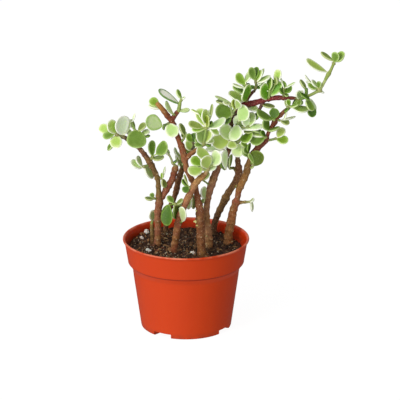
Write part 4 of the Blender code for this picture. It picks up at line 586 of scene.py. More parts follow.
def settled():
    """The frame of every leaf. A leaf that would run through a stem or through
    another leaf turns about its foot along the line of sight until it is clear."""
    solid_tubes = []
    for name in STEMS:
        for points, radii in stem_tubes(name):
            solid_tubes.append((name, tree_of(*tube(points, radii, 6, 0.35))))
    for name, shoot in SHOOTS.items():
        for twig in shoot["twigs"]:
            solid_tubes.append((name, tree_of(*tube(*track(twig), 5, 0.3))))
    every = [(name, i) for name, shoot in SHOOTS.items() for i in range(len(shoot["leaves"]))]
    size = {key: SHOOTS[key[0]]["leaves"][key[1]] for key in every}
    every.sort(key=lambda k: -(size[k][4] * math.hypot(size[k][0] - size[k][2], size[k][1] - size[k][3])))
    ways = [(step, turn, slim) for step in range(-14, 15) for turn in (0, 10, -10, 25, -25) for slim in (1.0, 0.8, 0.6)]
    placed, frames = [], {}
    for key in every:
        shoot = SHOOTS[key[0]]
        leaf = shoot["leaves"][key[1]]
        seen = 0.87 * math.hypot(leaf[0] - leaf[2], leaf[1] - leaf[3])
        best = None
        for step, turn, slim in sorted(ways, key=lambda w: abs(w[0]) + 0.3 * abs(w[1]) + 18 * (1 - w[2])
                                       + 3 * max(0.0, abs(leaf[5] + w[0]) - 0.9 * seen)):
            frame = leaf_frame(shoot, leaf, step, math.radians(turn), slim)
            outer = tree_of(*leaf_hull(frame, 0.25, 0.12))
            whole = tree_of(*leaf_hull(frame, 0.0, 0.12))
            hits = sum(1 for owner, other in solid_tubes
                       if (outer if owner == key[0] or owner in STEMS else whole).overlap(other))
            hits += sum(1 for owner, other_outer, other_whole in placed
                        if (outer.overlap(other_outer) if owner == key[0] else whole.overlap(other_whole)))
            if best is None or hits < best[0]:
                best = (hits, frame, outer, whole)
            if not hits:
                break
        frames[key] = best[1]
        placed.append((key[0], best[2], best[3]))
        if best[0]:
            TIGHT.append((key, best[0]))
    return frames


TIGHT = []


def tree_of(points, faces):
    return BVHTree.FromPolygons([tuple(p) for p in points], faces)


# --- helpers -------------------------------------------------------------------
MM = 0.001


def linear(code):
    """A colour written as a hex code, as linear light."""
    values = [int(code[i:i + 2], 16) / 255 for i in (0, 2, 4)]
    return np.array([v / 12.92 if v <= 0.04045 else ((v + 0.055) / 1.055) ** 2.4 for v in values])


class Sculpt:
    """Points, faces and per-point values gathered for one piece, in millimetres."""

    def __init__(self):
        self.points, self.faces, self.values, self.count = [], [], {}, 0

    def add(self, points, faces, **values):
        points = np.asarray(points, float).reshape(-1, 3)
        self.points.append(points)
        start = self.count
        self.faces += [tuple(start + i for i in face) for face in faces]
        self.count += len(points)
        for name, value in values.items():
            value = np.asarray(value, float)
            wide = 3 if value.ndim and value.shape[-1] == 3 and value.ndim in (1, 2) and value.shape != (len(points),) else 1
            if wide == 3:
                value = np.broadcast_to(value, (len(points), 3))
            else:
                value = np.broadcast_to(value.reshape(-1) if value.ndim else value, (len(points),))
            self.values.setdefault(name, []).append((start, value))

    def make(self, name, material, node=None):
        mesh = bpy.data.meshes.new(name)
        mesh.from_pydata((np.vstack(self.points) * MM).tolist(), [], self.faces)
        for key, found in self.values.items():
            wide = found[0][1].ndim == 2
            data = np.zeros((self.count, 4 if wide else 1), np.float32)
            if wide:
                data[:, 3] = 1
            for start, value in found:
                if wide:
                    data[start:start + len(value), :3] = value
                else:
                    data[start:start + len(value), 0] = value
            layer = mesh.attributes.new(key, "FLOAT_COLOR" if wide else "FLOAT", "POINT")
            layer.data.foreach_set("color" if wide else "value", data.reshape(-1))
        mesh.materials.append(material)
        mesh.shade_smooth()
        obj = bpy.data.objects.new(name, mesh)
        bpy.context.scene.collection.objects.link(obj)
        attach(obj, "root")
        if node:
            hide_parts(node)
        return obj


def ring_faces(rings, sides, start=0):
    faces = []
    for i in range(rings - 1):
        a = start + i * sides
        for k in range(sides):
            j = (k + 1) % sides
            faces.append((a + k, a + j, a + sides + j, a + sides + k))
    return faces


def curve_through(points, radii, step):
    """A smooth curve through the points: places, radii and distances along, every `step`."""
    points, radii = np.asarray(points, float), np.asarray(radii, float)
    s = np.concatenate([[0], np.cumsum(np.linalg.norm(np.diff(points, axis=0), axis=1))])
    count = max(int(s[-1] / step), 4)
    at = np.linspace(0, s[-1], count + 1)
    slopes = np.gradient(points, s, axis=0) if len(points) > 2 else np.repeat((points[1] - points[0])[None] / s[-1], 2, 0)
    i = np.clip(np.searchsorted(s, at, "right") - 1, 0, len(s) - 2)
    h = (s[i + 1] - s[i])[:, None]
    t = ((at - s[i])[:, None]) / h
    place = ((2 * t**3 - 3 * t**2 + 1) * points[i] + (t**3 - 2 * t**2 + t) * h * slopes[i]
             + (-2 * t**3 + 3 * t**2) * points[i + 1] + (t**3 - t**2) * h * slopes[i + 1])
    ease = t[:, 0] ** 2 * (3 - 2 * t[:, 0])
    return place, radii[i] * (1 - ease) + radii[i + 1] * ease, at


def frames_along(places):
    """Along, side and other directions that turn as little as possible."""
    along = np.gradient(places, axis=0)
    along /= np.linalg.norm(along, axis=1)[:, None]
    side = unit(np.cross(along[0], (0.3, 1.0, 0.2)))
    sides = []
    for a in along:
        side = unit(side - a * np.dot(side, a))
        sides.append(side)
    sides = np.array(sides)
    return along, sides, np.cross(along, sides)


def field(points, scale, seed=0.0):
    """Smooth noise from -1 to 1 at each point, `scale` millimetres to a lump."""
    return np.array([noise.noise(Vector((p[0] / scale + seed, p[1] / scale - seed, p[2] / scale + 2 * seed))) for p in points])


def colour_stops(stops, where):
    """Colours read along a list of (place, colour)."""
    at = np.array([a for a, c in stops])
    colours = np.array([linear(c) for a, c in stops])
    return np.stack([np.interp(where, at, colours[:, i]) for i in range(3)], axis=1)


def limb(sculpt, points, radii, colours, seed, sides=26, step=0.6, knuckle=7.5, swell=0.13, scars=0.42, nodes=(), end="round",
         end_colour=None, young=(), painted_shade_and_dirt=0.0):
    """A stem or twig: a tube with swollen nodes, leaf scars and a closed end."""
    rng = np.random.default_rng(seed)
    places, r, s = curve_through(points, radii, step)
    along, side, other = frames_along(places)
    total = s[-1]
    marks = list(nodes)
    at = rng.uniform(0.4, 1.0) * knuckle if knuckle else total + 1
    while at < total - 2:
        marks.append(at)
        at += knuckle * rng.uniform(0.65, 1.35)
    angles = 2 * math.pi * np.arange(sides) / sides
    bulge = np.zeros(len(s))
    ring = np.zeros(len(s))
    scar = np.zeros((len(s), sides))
    turn = rng.uniform(0, math.pi)
    for mark in marks:
        wide = 0.9 + 0.18 * float(np.interp(mark, s, r))
        bulge += swell * rng.uniform(0.6, 1.4) * np.exp(-(((s - mark) / wide) ** 2))
        ring = np.maximum(ring, rng.uniform(0.5, 1.0) * np.exp(-(((s - mark) / 0.45) ** 2)))
        turn += math.pi / 2 + rng.uniform(-0.3, 0.3)
        for half in (0, math.pi):
            gap = np.angle(np.exp(1j * (angles - turn - half)))
            spot = np.exp(-(((s - mark)[:, None] / 0.75) ** 2) - (gap[None, :] * r[:, None] / 0.8) ** 2)
            scar = np.maximum(scar, spot * rng.uniform(0.5, 1.0))
    fresh = np.interp(s / total, [t for t, _ in young], [v for _, v in young]) if young else np.zeros(len(s))
    bulge *= 1 - 0.45 * fresh
    scar *= (1 - 0.6 * fresh)[:, None]
    wobble = (0.075 * noise_line(s / 4.6, seed) + 0.035 * noise_line(s / 1.7, seed + 40)) * (1 - 0.5 * fresh)
    radius = (r * (1 + bulge + wobble))[:, None] * (1 + 0.035 * np.sin(2 * angles + s[:, None] / 7 + seed)
                                                      + 0.02 * np.sin(3 * angles - s[:, None] / 4 + 2 * seed)) + scars * scar
    if end == "round":
        left = total - s
        radius *= np.sqrt(np.clip(1 - (1 - np.clip(left / (r[-1] * 0.9), 0, 1)) ** 2, 0.02, 1))[:, None]
    rings = (places[:, None] + radius[..., None] * (np.cos(angles)[None, :, None] * side[:, None] + np.sin(angles)[None, :, None] * other[:, None]))
    colour = colours(s) if callable(colours) else colour_stops(colours, s / total)
    # the foot is darkened just above the soil line: soil dirt and painted contact shade
    if painted_shade_and_dirt:
        colour = colour * (0.50 + 0.50 * np.clip((s - painted_shade_and_dirt) / 5.0, 0, 1))[:, None]
    tint = np.repeat(colour, sides, 0)
    faces = ring_faces(len(s), sides)
    n = len(s) * sides
    caps = [places[0], places[-1] + along[-1] * (0.12 if end == "round" else -0.1)]
    faces += [(n, (k + 1) % sides, k) for k in range(sides)]
    if end == "cut":
        lip = rings[-1] * 0.72 + places[-1] * 0.28 - along[-1] * 0.15
        points_all = np.vstack([rings.reshape(-1, 3), caps, lip])
        last = n - sides
        for k in range(sides):
            j = (k + 1) % sides
            faces.append((last + k, last + j, n + 2 + j, n + 2 + k))
            faces.append((n + 2 + k, n + 2 + j, n + 1))
        tint = np.vstack([tint, colour[:1], linear(end_colour)[None], np.repeat(linear(end_colour)[None], sides, 0)])
        extra = 2 + sides
    else:
        points_all = np.vstack([rings.reshape(-1, 3), caps])
        faces += [(n - sides + k, n - sides + (k + 1) % sides, n + 1) for k in range(sides)]
        tint = np.vstack([tint, colour[:1], colour[-1:]])
        extra = 2
    pad = np.zeros(extra)
    run = np.concatenate([np.repeat(s, sides), np.full(extra, total)])
    wrap = np.stack([np.concatenate([np.broadcast_to(np.cos(angles) * 1.0, (len(s), sides)).reshape(-1) * np.repeat(r, sides), pad]),
                     np.concatenate([np.broadcast_to(np.sin(angles) * 1.0, (len(s), sides)).reshape(-1) * np.repeat(r, sides), pad]),
                     run], axis=1)
    sculpt.add(points_all, faces, tint=tint, scar=np.concatenate([scar.reshape(-1), pad]),
               ring=np.concatenate([np.repeat(ring, sides), pad]), wrap=wrap,
               **({"young": np.concatenate([np.repeat(fresh, sides), np.full(extra, fresh[-1])])} if young else {}))
    return places, s


def noise_line(values, seed):
    return np.array([noise.noise(Vector((float(v), seed * 1.37, 0.5 * seed))) for v in values])


# colours of a leaf by tone: middle, margin, margin width in mm, outer edge, how much of the edge
TONES = {
    "D": ("456A0C", "6C9428", 0.9, "98B454", 0.42),
    "H": ("6A8A2C", "95B45A", 1.8, "C4D494", 0.60),
    "R": ("4F6608", "788A24", 0.9, "90A048", 0.35),
    "G": ("7EA226", "A6CA5C", 1.8, "DCE6B0", 0.70),
    "M": ("B0CA5E", "D8E6A6", 1.9, "F4F8E2", 0.95),
    "N": ("6AAA1A", "B8DC72", 2.2, "F0F5DA", 0.90),
    "P": ("BAD486", "E3EFC2", 1.8, "F4F8E4", 0.90),
    "W": ("D2EAA6", "EAF6CE", 2.4, "F8FAEE", 0.90),
    "Y": ("849022", "AEC258", 1.5, "DDE6A0", 0.55),
    "T": ("5F801E", "90AE58", 1.6, "CCDA9E", 0.58),
    "O": ("7A8E3C", "A4B466", 1.3, "CCD49C", 0.55),
    "C": ("CDDAA2", "E2EBC0", 1.5, "F6F9E8", 0.70),
    "V": ("FFFFF6", "5E8A34", 1.9, "6F9440", 0.85),
    "X": ("F4FDDC", "F6FBE6", 2.0, "F8FAEE", 0.85),
    "B": ("CCDAA6", "98BC5A", 2.6, "DCE8C0", 0.60),
    "E": ("C2D088", "DFEABA", 1.4, "8AA858", 0.70),
}
LEAF_RING = 22
LEAF_STEPS = 20


def outline(t, full_ratio):
    """Half-width of a leaf along its length as a share of its half-width at its widest."""
    c = 0.56 if full_ratio > 0.68 else 0.60
    base = np.clip(1 - np.abs((c - t) / c), 0, 1)
    low = (1 - (1 - base) ** 1.8) ** (0.58 if full_ratio > 0.85 else 0.68 if full_ratio > 0.68 else 0.82)
    high = np.sqrt(np.clip(1 - (np.clip((t - c) / (1 - c), 0, 1)) ** 2.1, 0, 1))
    return np.where(t < c, low, high)


def blade(sculpt, frame_of_leaf, tone, seed, slim=1.0):
    """A fleshy leaf on a short stalk, with its distance to the margin for the variegation."""
    root, foot, tip, axis, width_dir, up, length, width = frame_of_leaf
    rng = np.random.default_rng(seed)
    ratio = width / length
    bend = -rng.uniform(0.0, 0.075)
    cup = rng.uniform(0.04, 0.26) * (1 if ratio > 0.5 else 0.6)
    twist = rng.uniform(-0.16, 0.16)
    sway = rng.uniform(-0.05, 0.05) * length
    thick = min(1.9, 0.22 * width + 0.75, 0.42 * width + 0.15) * rng.uniform(0.9, 1.1)
    u = np.concatenate([[0.0], 0.5 - 0.5 * np.cos(np.linspace(0.16, math.pi, LEAF_STEPS) )])
    u = (u - u[0]) / (u[-1] - u[0])
    u[-1] = 0.9975
    stalk = np.array([0.0, 0.45])
    width *= slim * (0.88 if tone == "V" else 1.04 if ratio > 0.45 else 1.0)
    half = np.maximum(outline(u, ratio) * width / 2, 0.05)
    half *= 1 + 0.025 * np.sin(u * 9 + seed) * (u > 0.2)
    neck = 0.62 if width > 5 else 0.45
    half[:4] = np.maximum(half[:4], neck)
    deep = thick / 2 * np.clip(0.42 + 0.58 * np.sin(math.pi * np.clip(u * 0.92 + 0.06, 0, 1)) ** 0.7, 0.2, 1)
    deep *= np.clip(np.sqrt(np.clip((1 - u) * length / 1.3, 0, 1)), 0.16, 1)
    centre = foot + (tip - foot) * u[:, None]
    centre += up * (bend * length * 4 * u * (1 - u))[:, None] + width_dir * (sway * 4 * (u * (1 - u)) ** 1.2)[:, None]
    reach = float(np.linalg.norm(foot - root))
    start = root if reach > 0.5 else foot - axis * 0.6
    stalk_centres = start + (centre[0] - start) * stalk[:, None]
    centre = np.vstack([stalk_centres, centre])
    half = np.concatenate([[neck, neck], half])
    deep = np.concatenate([[neck * 0.9, neck * 0.9], deep])
    along = np.concatenate([-(1 - stalk) * max(reach, 0.6) / length, u])
    angle = 2 * math.pi * np.arange(LEAF_RING) / LEAF_RING
    v = np.sign(np.cos(angle)) * np.abs(np.cos(angle)) ** 0.9
    h = np.sign(np.sin(angle)) * np.abs(np.sin(angle)) ** 0.72
    ended = np.maximum(1 - along, 0)[:, None] * length
    near = np.minimum(half[:, None] * (1 - np.abs(v))[None, :], ended * 0.8)
    swell = 1 + 0.30 * np.exp(-((near - 0.75) / 0.55) ** 2) * (along[:, None] > 0.1)
    curl = 0.22 * np.exp(-ended / 1.8) * min(width / 8.0, 1.2) * (along[:, None] > 0)
    roll = twist * (np.clip(along, 0, 1) - 0.4)
    wide = np.cos(roll)[:, None] * width_dir + np.sin(roll)[:, None] * up
    high = np.cos(roll)[:, None] * up - np.sin(roll)[:, None] * width_dir
    lift = half[:, None] * v[None, :]
    rings = (centre[:, None] + wide[:, None] * lift[..., None]
             + high[:, None] * (deep[:, None] * h[None, :] * swell + cup * half[:, None] * (v[None, :] ** 2) * (along[:, None] > 0)
                                + curl)[..., None])
    n = rings.shape[0] * LEAF_RING
    points = np.vstack([rings.reshape(-1, 3), [stalk_centres[0]], [rings[-1].mean(0) + axis * 0.03]])
    faces = ring_faces(rings.shape[0], LEAF_RING)
    faces += [(n, (k + 1) % LEAF_RING, k) for k in range(LEAF_RING)]
    faces += [(n - LEAF_RING + k, n - LEAF_RING + (k + 1) % LEAF_RING, n + 1) for k in range(LEAF_RING)]
    end_gap = np.maximum(1 - along, 0)[:, None] * length
    margin = np.minimum(half[:, None] * (1 - np.abs(v))[None, :], end_gap * 0.8)
    margin = np.where(along[:, None] < 0.12, np.maximum(margin, 0.4), margin)
    middle, edge, margin_wide, rim, rim_share = TONES[tone]
    shade = rng.uniform(0.90, 1.10)
    hue = np.array([rng.uniform(0.95, 1.06), 1.0, rng.uniform(0.9, 1.1)])
    put = dict(
        middle=np.clip(linear(middle) * shade * hue, 0, 1), edge=np.clip(linear(edge) * (0.5 + 0.5 * shade), 0, 1),
        rimcol=linear(rim), rimshare=rim_share, marginwide=margin_wide * min(1.0, width / 7.0) * rng.uniform(0.8, 1.2),
        rimgap=np.concatenate([margin.reshape(-1), [0.4, 0.0]]),
        upper=np.concatenate([np.broadcast_to((h > -0.05).astype(float), (rings.shape[0], LEAF_RING)).reshape(-1), [1, 1]]),
        down=np.concatenate([np.repeat(np.clip(along, 0, 1), LEAF_RING), [0, 1]]),
        kind=1.0, speck=rng.uniform(0, 40), calm=0.0 if tone == "V" else 0.34)
    sculpt.add(points, faces, **put)


# --- materials -----------------------------------------------------------------
class Nodes:
    """Short names for wiring a material."""

    def __init__(self, name):
        self.material = bpy.data.materials.new(name)
        self.material.use_nodes = True
        self.tree = self.material.node_tree
        self.shader = self.tree.nodes["Principled BSDF"]

    def node(self, kind, **settings):
        made = self.tree.nodes.new(kind)
        for key, value in settings.items():
            setattr(made, key, value)
        return made

    def link(self, source, target):
        self.tree.links.new(source, target)

    def attribute(self, name, colour=False):
        made = self.node("ShaderNodeAttribute", attribute_name=name)
        return made.outputs["Color" if colour else "Fac"]

    def value(self, target, source):
        if isinstance(source, (int, float)):
            target.default_value = source
        elif isinstance(source, (tuple, list, np.ndarray)):
            target.default_value = tuple(source) if len(source) == len(target.default_value) else (*source, 1.0)
        else:
            self.link(source, target)

    def math(self, operation, a, b=0.0, clamp=False):
        made = self.node("ShaderNodeMath", operation=operation, use_clamp=clamp)
        self.value(made.inputs[0], a)
        self.value(made.inputs[1], b)
        return made.outputs[0]

    def ramp(self, source, low, high, smooth=True):
        """0 below `low` and 1 above `high`."""
        made = self.node("ShaderNodeMapRange", interpolation_type="SMOOTHSTEP" if smooth else "LINEAR")
        self.value(made.inputs["Value"], source)
        self.value(made.inputs["From Min"], low)
        self.value(made.inputs["From Max"], high)
        return made.outputs["Result"]

    def mix(self, share, a, b, mode="MIX"):
        made = self.node("ShaderNodeMix", data_type="RGBA", blend_type=mode)
        self.value(made.inputs[0], share)
        self.value(made.inputs[6], a)
        self.value(made.inputs[7], b)
        return made.outputs[2]

    def noise(self, scale, detail=3.0, rough=0.55, vector=None, distortion=0.0):
        made = self.node("ShaderNodeTexNoise")
        made.inputs["Scale"].default_value = scale
        made.inputs["Detail"].default_value = detail
        made.inputs["Roughness"].default_value = rough
        made.inputs["Distortion"].default_value = distortion
        self.link(vector or self.place(), made.inputs["Vector"])
        return made.outputs["Fac"]

    def cells(self, scale, vector=None, feature="F1", randomness=1.0):
        made = self.node("ShaderNodeTexVoronoi", feature=feature)
        made.inputs["Scale"].default_value = scale
        made.inputs["Randomness"].default_value = randomness
        self.link(vector or self.place(), made.inputs["Vector"])
        return made

    def place(self):
        if not hasattr(self, "coordinates"):
            self.coordinates = self.node("ShaderNodeTexCoord")
        return self.coordinates.outputs["Object"]

    def bump(self, height, strength, distance):
        made = self.node("ShaderNodeBump")
        made.inputs["Strength"].default_value = strength
        made.inputs["Distance"].default_value = distance
        self.link(height, made.inputs["Height"])
        self.link(made.outputs["Normal"], self.shader.inputs["Normal"])


def leaf_material():
    """Leaves (kind 1) with cream margins, and the twigs (kind 0) that carry them."""
    m = Nodes("leaf_skin")
    gap, wide = m.attribute("rimgap"), m.attribute("marginwide")
    middle, edge, rim = m.attribute("middle", True), m.attribute("edge", True), m.attribute("rimcol", True)
    ragged = m.math("MULTIPLY", m.math("SUBTRACT", m.noise(420, 3), 0.5), 1.1)
    depth = m.math("ADD", gap, m.math("MULTIPLY", ragged, wide))
    inner = m.ramp(depth, m.math("MULTIPLY", wide, 0.10), m.math("ADD", m.math("MULTIPLY", wide, 1.25), 0.25))
    patch = m.ramp(m.noise(190, 2, 0.6), 0.40, 0.72)
    body = m.mix(m.math("MULTIPLY", patch, m.attribute("calm")), middle, m.mix(0.6, middle, edge))
    deep = m.mix(m.math("MULTIPLY", m.ramp(gap, 1.4, 4.4), m.attribute("calm")), body, m.mix(1.0, body, (0.66, 0.86, 0.42), "MULTIPLY"))
    colour = m.mix(inner, edge, deep)
    outer = m.math("MULTIPLY", m.ramp(m.math("ADD", gap, m.math("MULTIPLY", m.math("SUBTRACT", m.noise(700, 2), 0.5), 0.30)), 0.70, 0.42), m.attribute("rimshare"))
    colour = m.mix(outer, colour, rim)
    under = m.math("SUBTRACT", 1.0, m.attribute("upper"))
    colour = m.mix(m.math("MULTIPLY", under, 0.22), colour, m.mix(0.5, colour, (0.62, 0.70, 0.44)))
    foot = m.ramp(m.attribute("down"), 0.16, 0.0)
    colour = m.mix(m.math("MULTIPLY", foot, 0.35), colour, m.mix(1.0, colour, (0.92, 0.86, 0.50), "MULTIPLY"))
    flecks = m.ramp(m.noise(1500, 1), 0.62, 0.74)
    colour = m.mix(m.math("MULTIPLY", flecks, 0.10), colour, (0.80, 0.86, 0.60))
    twig = m.attribute("tint", True)
    streak = m.noise(700, 3)
    twig = m.mix(m.math("MULTIPLY", m.ramp(streak, 0.35, 0.7), 0.35), twig, m.mix(1.0, twig, (0.62, 0.55, 0.45), "MULTIPLY"))
    twig = m.mix(m.math("MULTIPLY", m.attribute("scar"), 0.5), twig, (0.55, 0.42, 0.24))
    colour = m.mix(m.attribute("kind"), twig, colour)
    m.link(colour, m.shader.inputs["Base Color"])
    rough = m.math("ADD", 0.36, m.math("MULTIPLY", m.noise(260, 2), 0.22))
    m.link(rough, m.shader.inputs["Roughness"])
    m.shader.inputs["Specular IOR Level"].default_value = 0.36
    m.shader.inputs["Subsurface Weight"].default_value = 0.08
    m.shader.inputs["Subsurface Radius"].default_value = (0.8, 1.0, 0.35)
    m.shader.inputs["Subsurface Scale"].default_value = 0.0015
    m.bump(m.math("ADD", m.math("MULTIPLY", m.noise(520, 2), 0.7), m.math("MULTIPLY", m.noise(1900, 2), 0.3)), 0.25, 0.0004)
    return m.material


def bark_material():
    """Brown bark with fine streaks, pale lenticels, ringed nodes and leaf scars."""
    m = Nodes("bark")
    tint = m.attribute("tint", True)
    wrap = m.attribute("wrap", True)
    old = m.math("SUBTRACT", 1.0, m.attribute("young"))
    stretch = m.node("ShaderNodeVectorMath", operation="MULTIPLY")
    m.link(wrap, stretch.inputs[0])
    stretch.inputs[1].default_value = (1.0, 1.0, 0.22)
    streaks = m.noise(1.9, 4, 0.6, stretch.outputs[0])
    fine = m.noise(5.5, 3, 0.6, stretch.outputs[0])
    blotch = m.noise(0.34, 3, 0.6, wrap)
    patch = m.noise(120, 2, 0.5)
    grey = m.noise(270, 3, 0.6)
    tint = m.mix(m.math("MULTIPLY", m.math("MULTIPLY", m.ramp(patch, 0.47, 0.64), 0.52), old), tint, (0.34, 0.21, 0.060))
    tint = m.mix(m.math("MULTIPLY", m.math("MULTIPLY", m.ramp(grey, 0.52, 0.70), 0.45), old), tint, (0.50, 0.30, 0.18))
    tint = m.mix(1.0, tint, (0.95, 0.87, 0.76), "MULTIPLY")
    colour = m.mix(m.ramp(streaks, 0.34, 0.66), m.mix(1.0, tint, (0.52, 0.46, 0.42), "MULTIPLY"), tint)
    colour = m.mix(m.math("MULTIPLY", m.ramp(blotch, 0.45, 0.72), 0.5), colour, m.mix(1.0, colour, (1.35, 1.22, 1.08), "MULTIPLY"))
    colour = m.mix(m.math("MULTIPLY", m.ramp(fine, 0.55, 0.75), 0.35), colour, m.mix(1.0, colour, (1.45, 1.4, 1.35), "MULTIPLY"))
    squash = m.node("ShaderNodeVectorMath", operation="MULTIPLY")
    m.link(wrap, squash.inputs[0])
    squash.inputs[1].default_value = (1.0, 1.0, 1.6)
    cells = m.cells(0.62, squash.outputs[0])
    lenticel = m.math("MULTIPLY", m.ramp(cells.outputs["Distance"], 0.34, 0.14), m.ramp(m.noise(0.5, 1, 0.5, wrap), 0.40, 0.56))
    colour = m.mix(m.math("MULTIPLY", lenticel, 0.42), colour, (0.62, 0.46, 0.30))
    colour = m.mix(m.math("MULTIPLY", m.attribute("ring"), 0.35), colour, m.mix(1.0, colour, (0.5, 0.45, 0.42), "MULTIPLY"))
    colour = m.mix(m.math("MULTIPLY", m.ramp(m.attribute("scar"), 0.25, 0.8), 0.62), colour, (0.66, 0.50, 0.30))
    m.link(colour, m.shader.inputs["Base Color"])
    m.link(m.math("ADD", 0.58, m.math("MULTIPLY", streaks, 0.3)), m.shader.inputs["Roughness"])
    m.shader.inputs["Specular IOR Level"].default_value = 0.32
    height = m.math("ADD", m.math("MULTIPLY", streaks, 0.6), m.math("ADD", m.math("MULTIPLY", fine, 0.3), m.math("MULTIPLY", lenticel, 0.5)))
    m.bump(m.math("MULTIPLY", height, m.math("ADD", 0.35, m.math("MULTIPLY", old, 0.65))), 0.55, 0.0005)
    return m.material


def pot_material():
    """Satin orange polypropylene: fine moulded grain, faint flow marks and scuffs, soil dirt above the soil line inside
    and round the foot, with painted light: a brighter red copy of the plastic on the inner wall, painted shade there
    darkest at the left, painted contact shade above the soil, a painted highlight on the lip and a painted shadow line
    under the collar.
    """
    m = Nodes("pot_plastic")
    base = np.array([0.535, 0.040, 0.0012])
    cloud = m.noise(26, 3, 0.55)
    colour = m.mix(m.math("MULTIPLY", m.ramp(cloud, 0.35, 0.7), 0.22), tuple(base), tuple(base * np.array([0.86, 0.78, 0.72])))
    split = m.node("ShaderNodeSeparateXYZ")
    m.link(m.place(), split.inputs[0])
    flat = m.node("ShaderNodeCombineXYZ")
    m.link(m.math("MULTIPLY", split.outputs[0], 60), flat.inputs[0])
    m.link(m.math("MULTIPLY", split.outputs[1], 60), flat.inputs[1])
    m.link(m.math("MULTIPLY", split.outputs[2], 2.2), flat.inputs[2])
    flow = m.noise(1.0, 3, 0.6, flat.outputs[0])
    colour = m.mix(m.math("MULTIPLY", m.ramp(flow, 0.4, 0.72), 0.16), colour, tuple(base * np.array([1.10, 1.35, 1.6])))
    inside = m.attribute("inside")
    # painted light: the same plastic in a brighter, redder copy on the inner wall
    colour = m.mix(m.math("MULTIPLY", inside, 0.85), colour, (0.84, 0.042, 0.004))
    # painted shade on the inner wall, darkest at the left and near the soil
    colour = m.mix(m.attribute("painted_shade_and_dirt"), colour, m.mix(1.0, colour, (0.26, 0.50, 0.7), "MULTIPLY"))
    # soil dirt above the soil line inside, also painted contact shade there, and dirt round the foot
    dirt_and_contact_shade = m.math("MULTIPLY", m.math("MULTIPLY", m.ramp(m.noise(160, 4, 0.65), 0.38, 0.60), m.attribute("soil_dirt_and_shade")), 0.85)
    colour = m.mix(dirt_and_contact_shade, colour, tuple(linear("4A3424")))
    # painted highlight along the top of the lip, broken up by noise
    painted_lip_highlight = m.math("MULTIPLY", m.attribute("lip"), m.ramp(m.noise(90, 3), 0.3, 0.65))
    colour = m.mix(m.math("MULTIPLY", painted_lip_highlight, 0.55), colour, tuple(linear("F4A080")))
    # painted shadow line under the collar's lower edge
    colour = m.mix(m.math("MULTIPLY", m.attribute("painted_crease_shadow"), 0.85), colour, m.mix(1.0, colour, (0.40, 0.22, 0.2), "MULTIPLY"))
    m.link(colour, m.shader.inputs["Base Color"])
    scuff = m.noise(240, 4, 0.6)
    m.link(m.math("ADD", 0.36, m.math("MULTIPLY", scuff, 0.16)), m.shader.inputs["Roughness"])
    m.shader.inputs["Specular IOR Level"].default_value = 0.17
    m.shader.inputs["Subsurface Weight"].default_value = 0.03
    m.shader.inputs["Subsurface Radius"].default_value = (1.0, 0.25, 0.08)
    m.shader.inputs["Subsurface Scale"].default_value = 0.001
    m.bump(m.math("ADD", m.math("MULTIPLY", m.noise(1600, 2), 0.5), m.math("MULTIPLY", flow, 0.5)), 0.10, 0.0003)
    return m.material


def soil_material():
    """Damp, dark, crumbly mix; each crumb has its own brown."""
    m = Nodes("potting_mix")
    tint = m.attribute("tint", True)
    grain = m.noise(900, 5, 0.7)
    lump = m.noise(260, 4, 0.65)
    colour = m.mix(m.ramp(grain, 0.36, 0.60), m.mix(1.0, tint, (0.55, 0.50, 0.46), "MULTIPLY"), tint)
    colour = m.mix(m.math("MULTIPLY", m.ramp(lump, 0.48, 0.66), 0.45), colour, m.mix(1.0, tint, (1.7, 1.6, 1.5), "MULTIPLY"))
    specks = m.cells(700)
    fleck = m.math("MULTIPLY", m.ramp(specks.outputs["Distance"], 0.30, 0.12), m.ramp(m.noise(330, 2), 0.55, 0.68))
    colour = m.mix(m.math("MULTIPLY", fleck, 0.6), colour, (0.30, 0.22, 0.14))
    m.link(colour, m.shader.inputs["Base Color"])
    m.link(m.math("ADD", 0.62, m.math("MULTIPLY", grain, 0.35)), m.shader.inputs["Roughness"])
    m.shader.inputs["Specular IOR Level"].default_value = 0.3
    m.bump(m.math("ADD", m.math("MULTIPLY", grain, 0.6), m.math("MULTIPLY", lump, 0.6)), 0.9, 0.0012)
    return m.material


def perlite_material():
    """Porous off-white mineral with small pits painted darker as painted shade, and traces of soil."""
    m = Nodes("perlite_foam")
    pits = m.cells(1100)
    pit = m.ramp(pits.outputs["Distance"], 0.22, 0.45)
    # the pits are painted a darker brown-grey: painted shade in the hollows
    colour = m.mix(pit, (0.42, 0.38, 0.30), (0.84, 0.82, 0.74))
    colour = m.mix(m.math("MULTIPLY", m.ramp(m.noise(420, 4, 0.65), 0.56, 0.70), 0.55), colour, (0.32, 0.24, 0.16))
    m.link(colour, m.shader.inputs["Base Color"])
    m.link(m.math("ADD", 0.75, m.math("MULTIPLY", pit, 0.15)), m.shader.inputs["Roughness"])
    m.shader.inputs["Subsurface Weight"].default_value = 0.1
    m.shader.inputs["Subsurface Scale"].default_value = 0.001
    m.bump(m.math("ADD", pit, m.noise(700, 3)), 0.8, 0.0005)
    return m.material


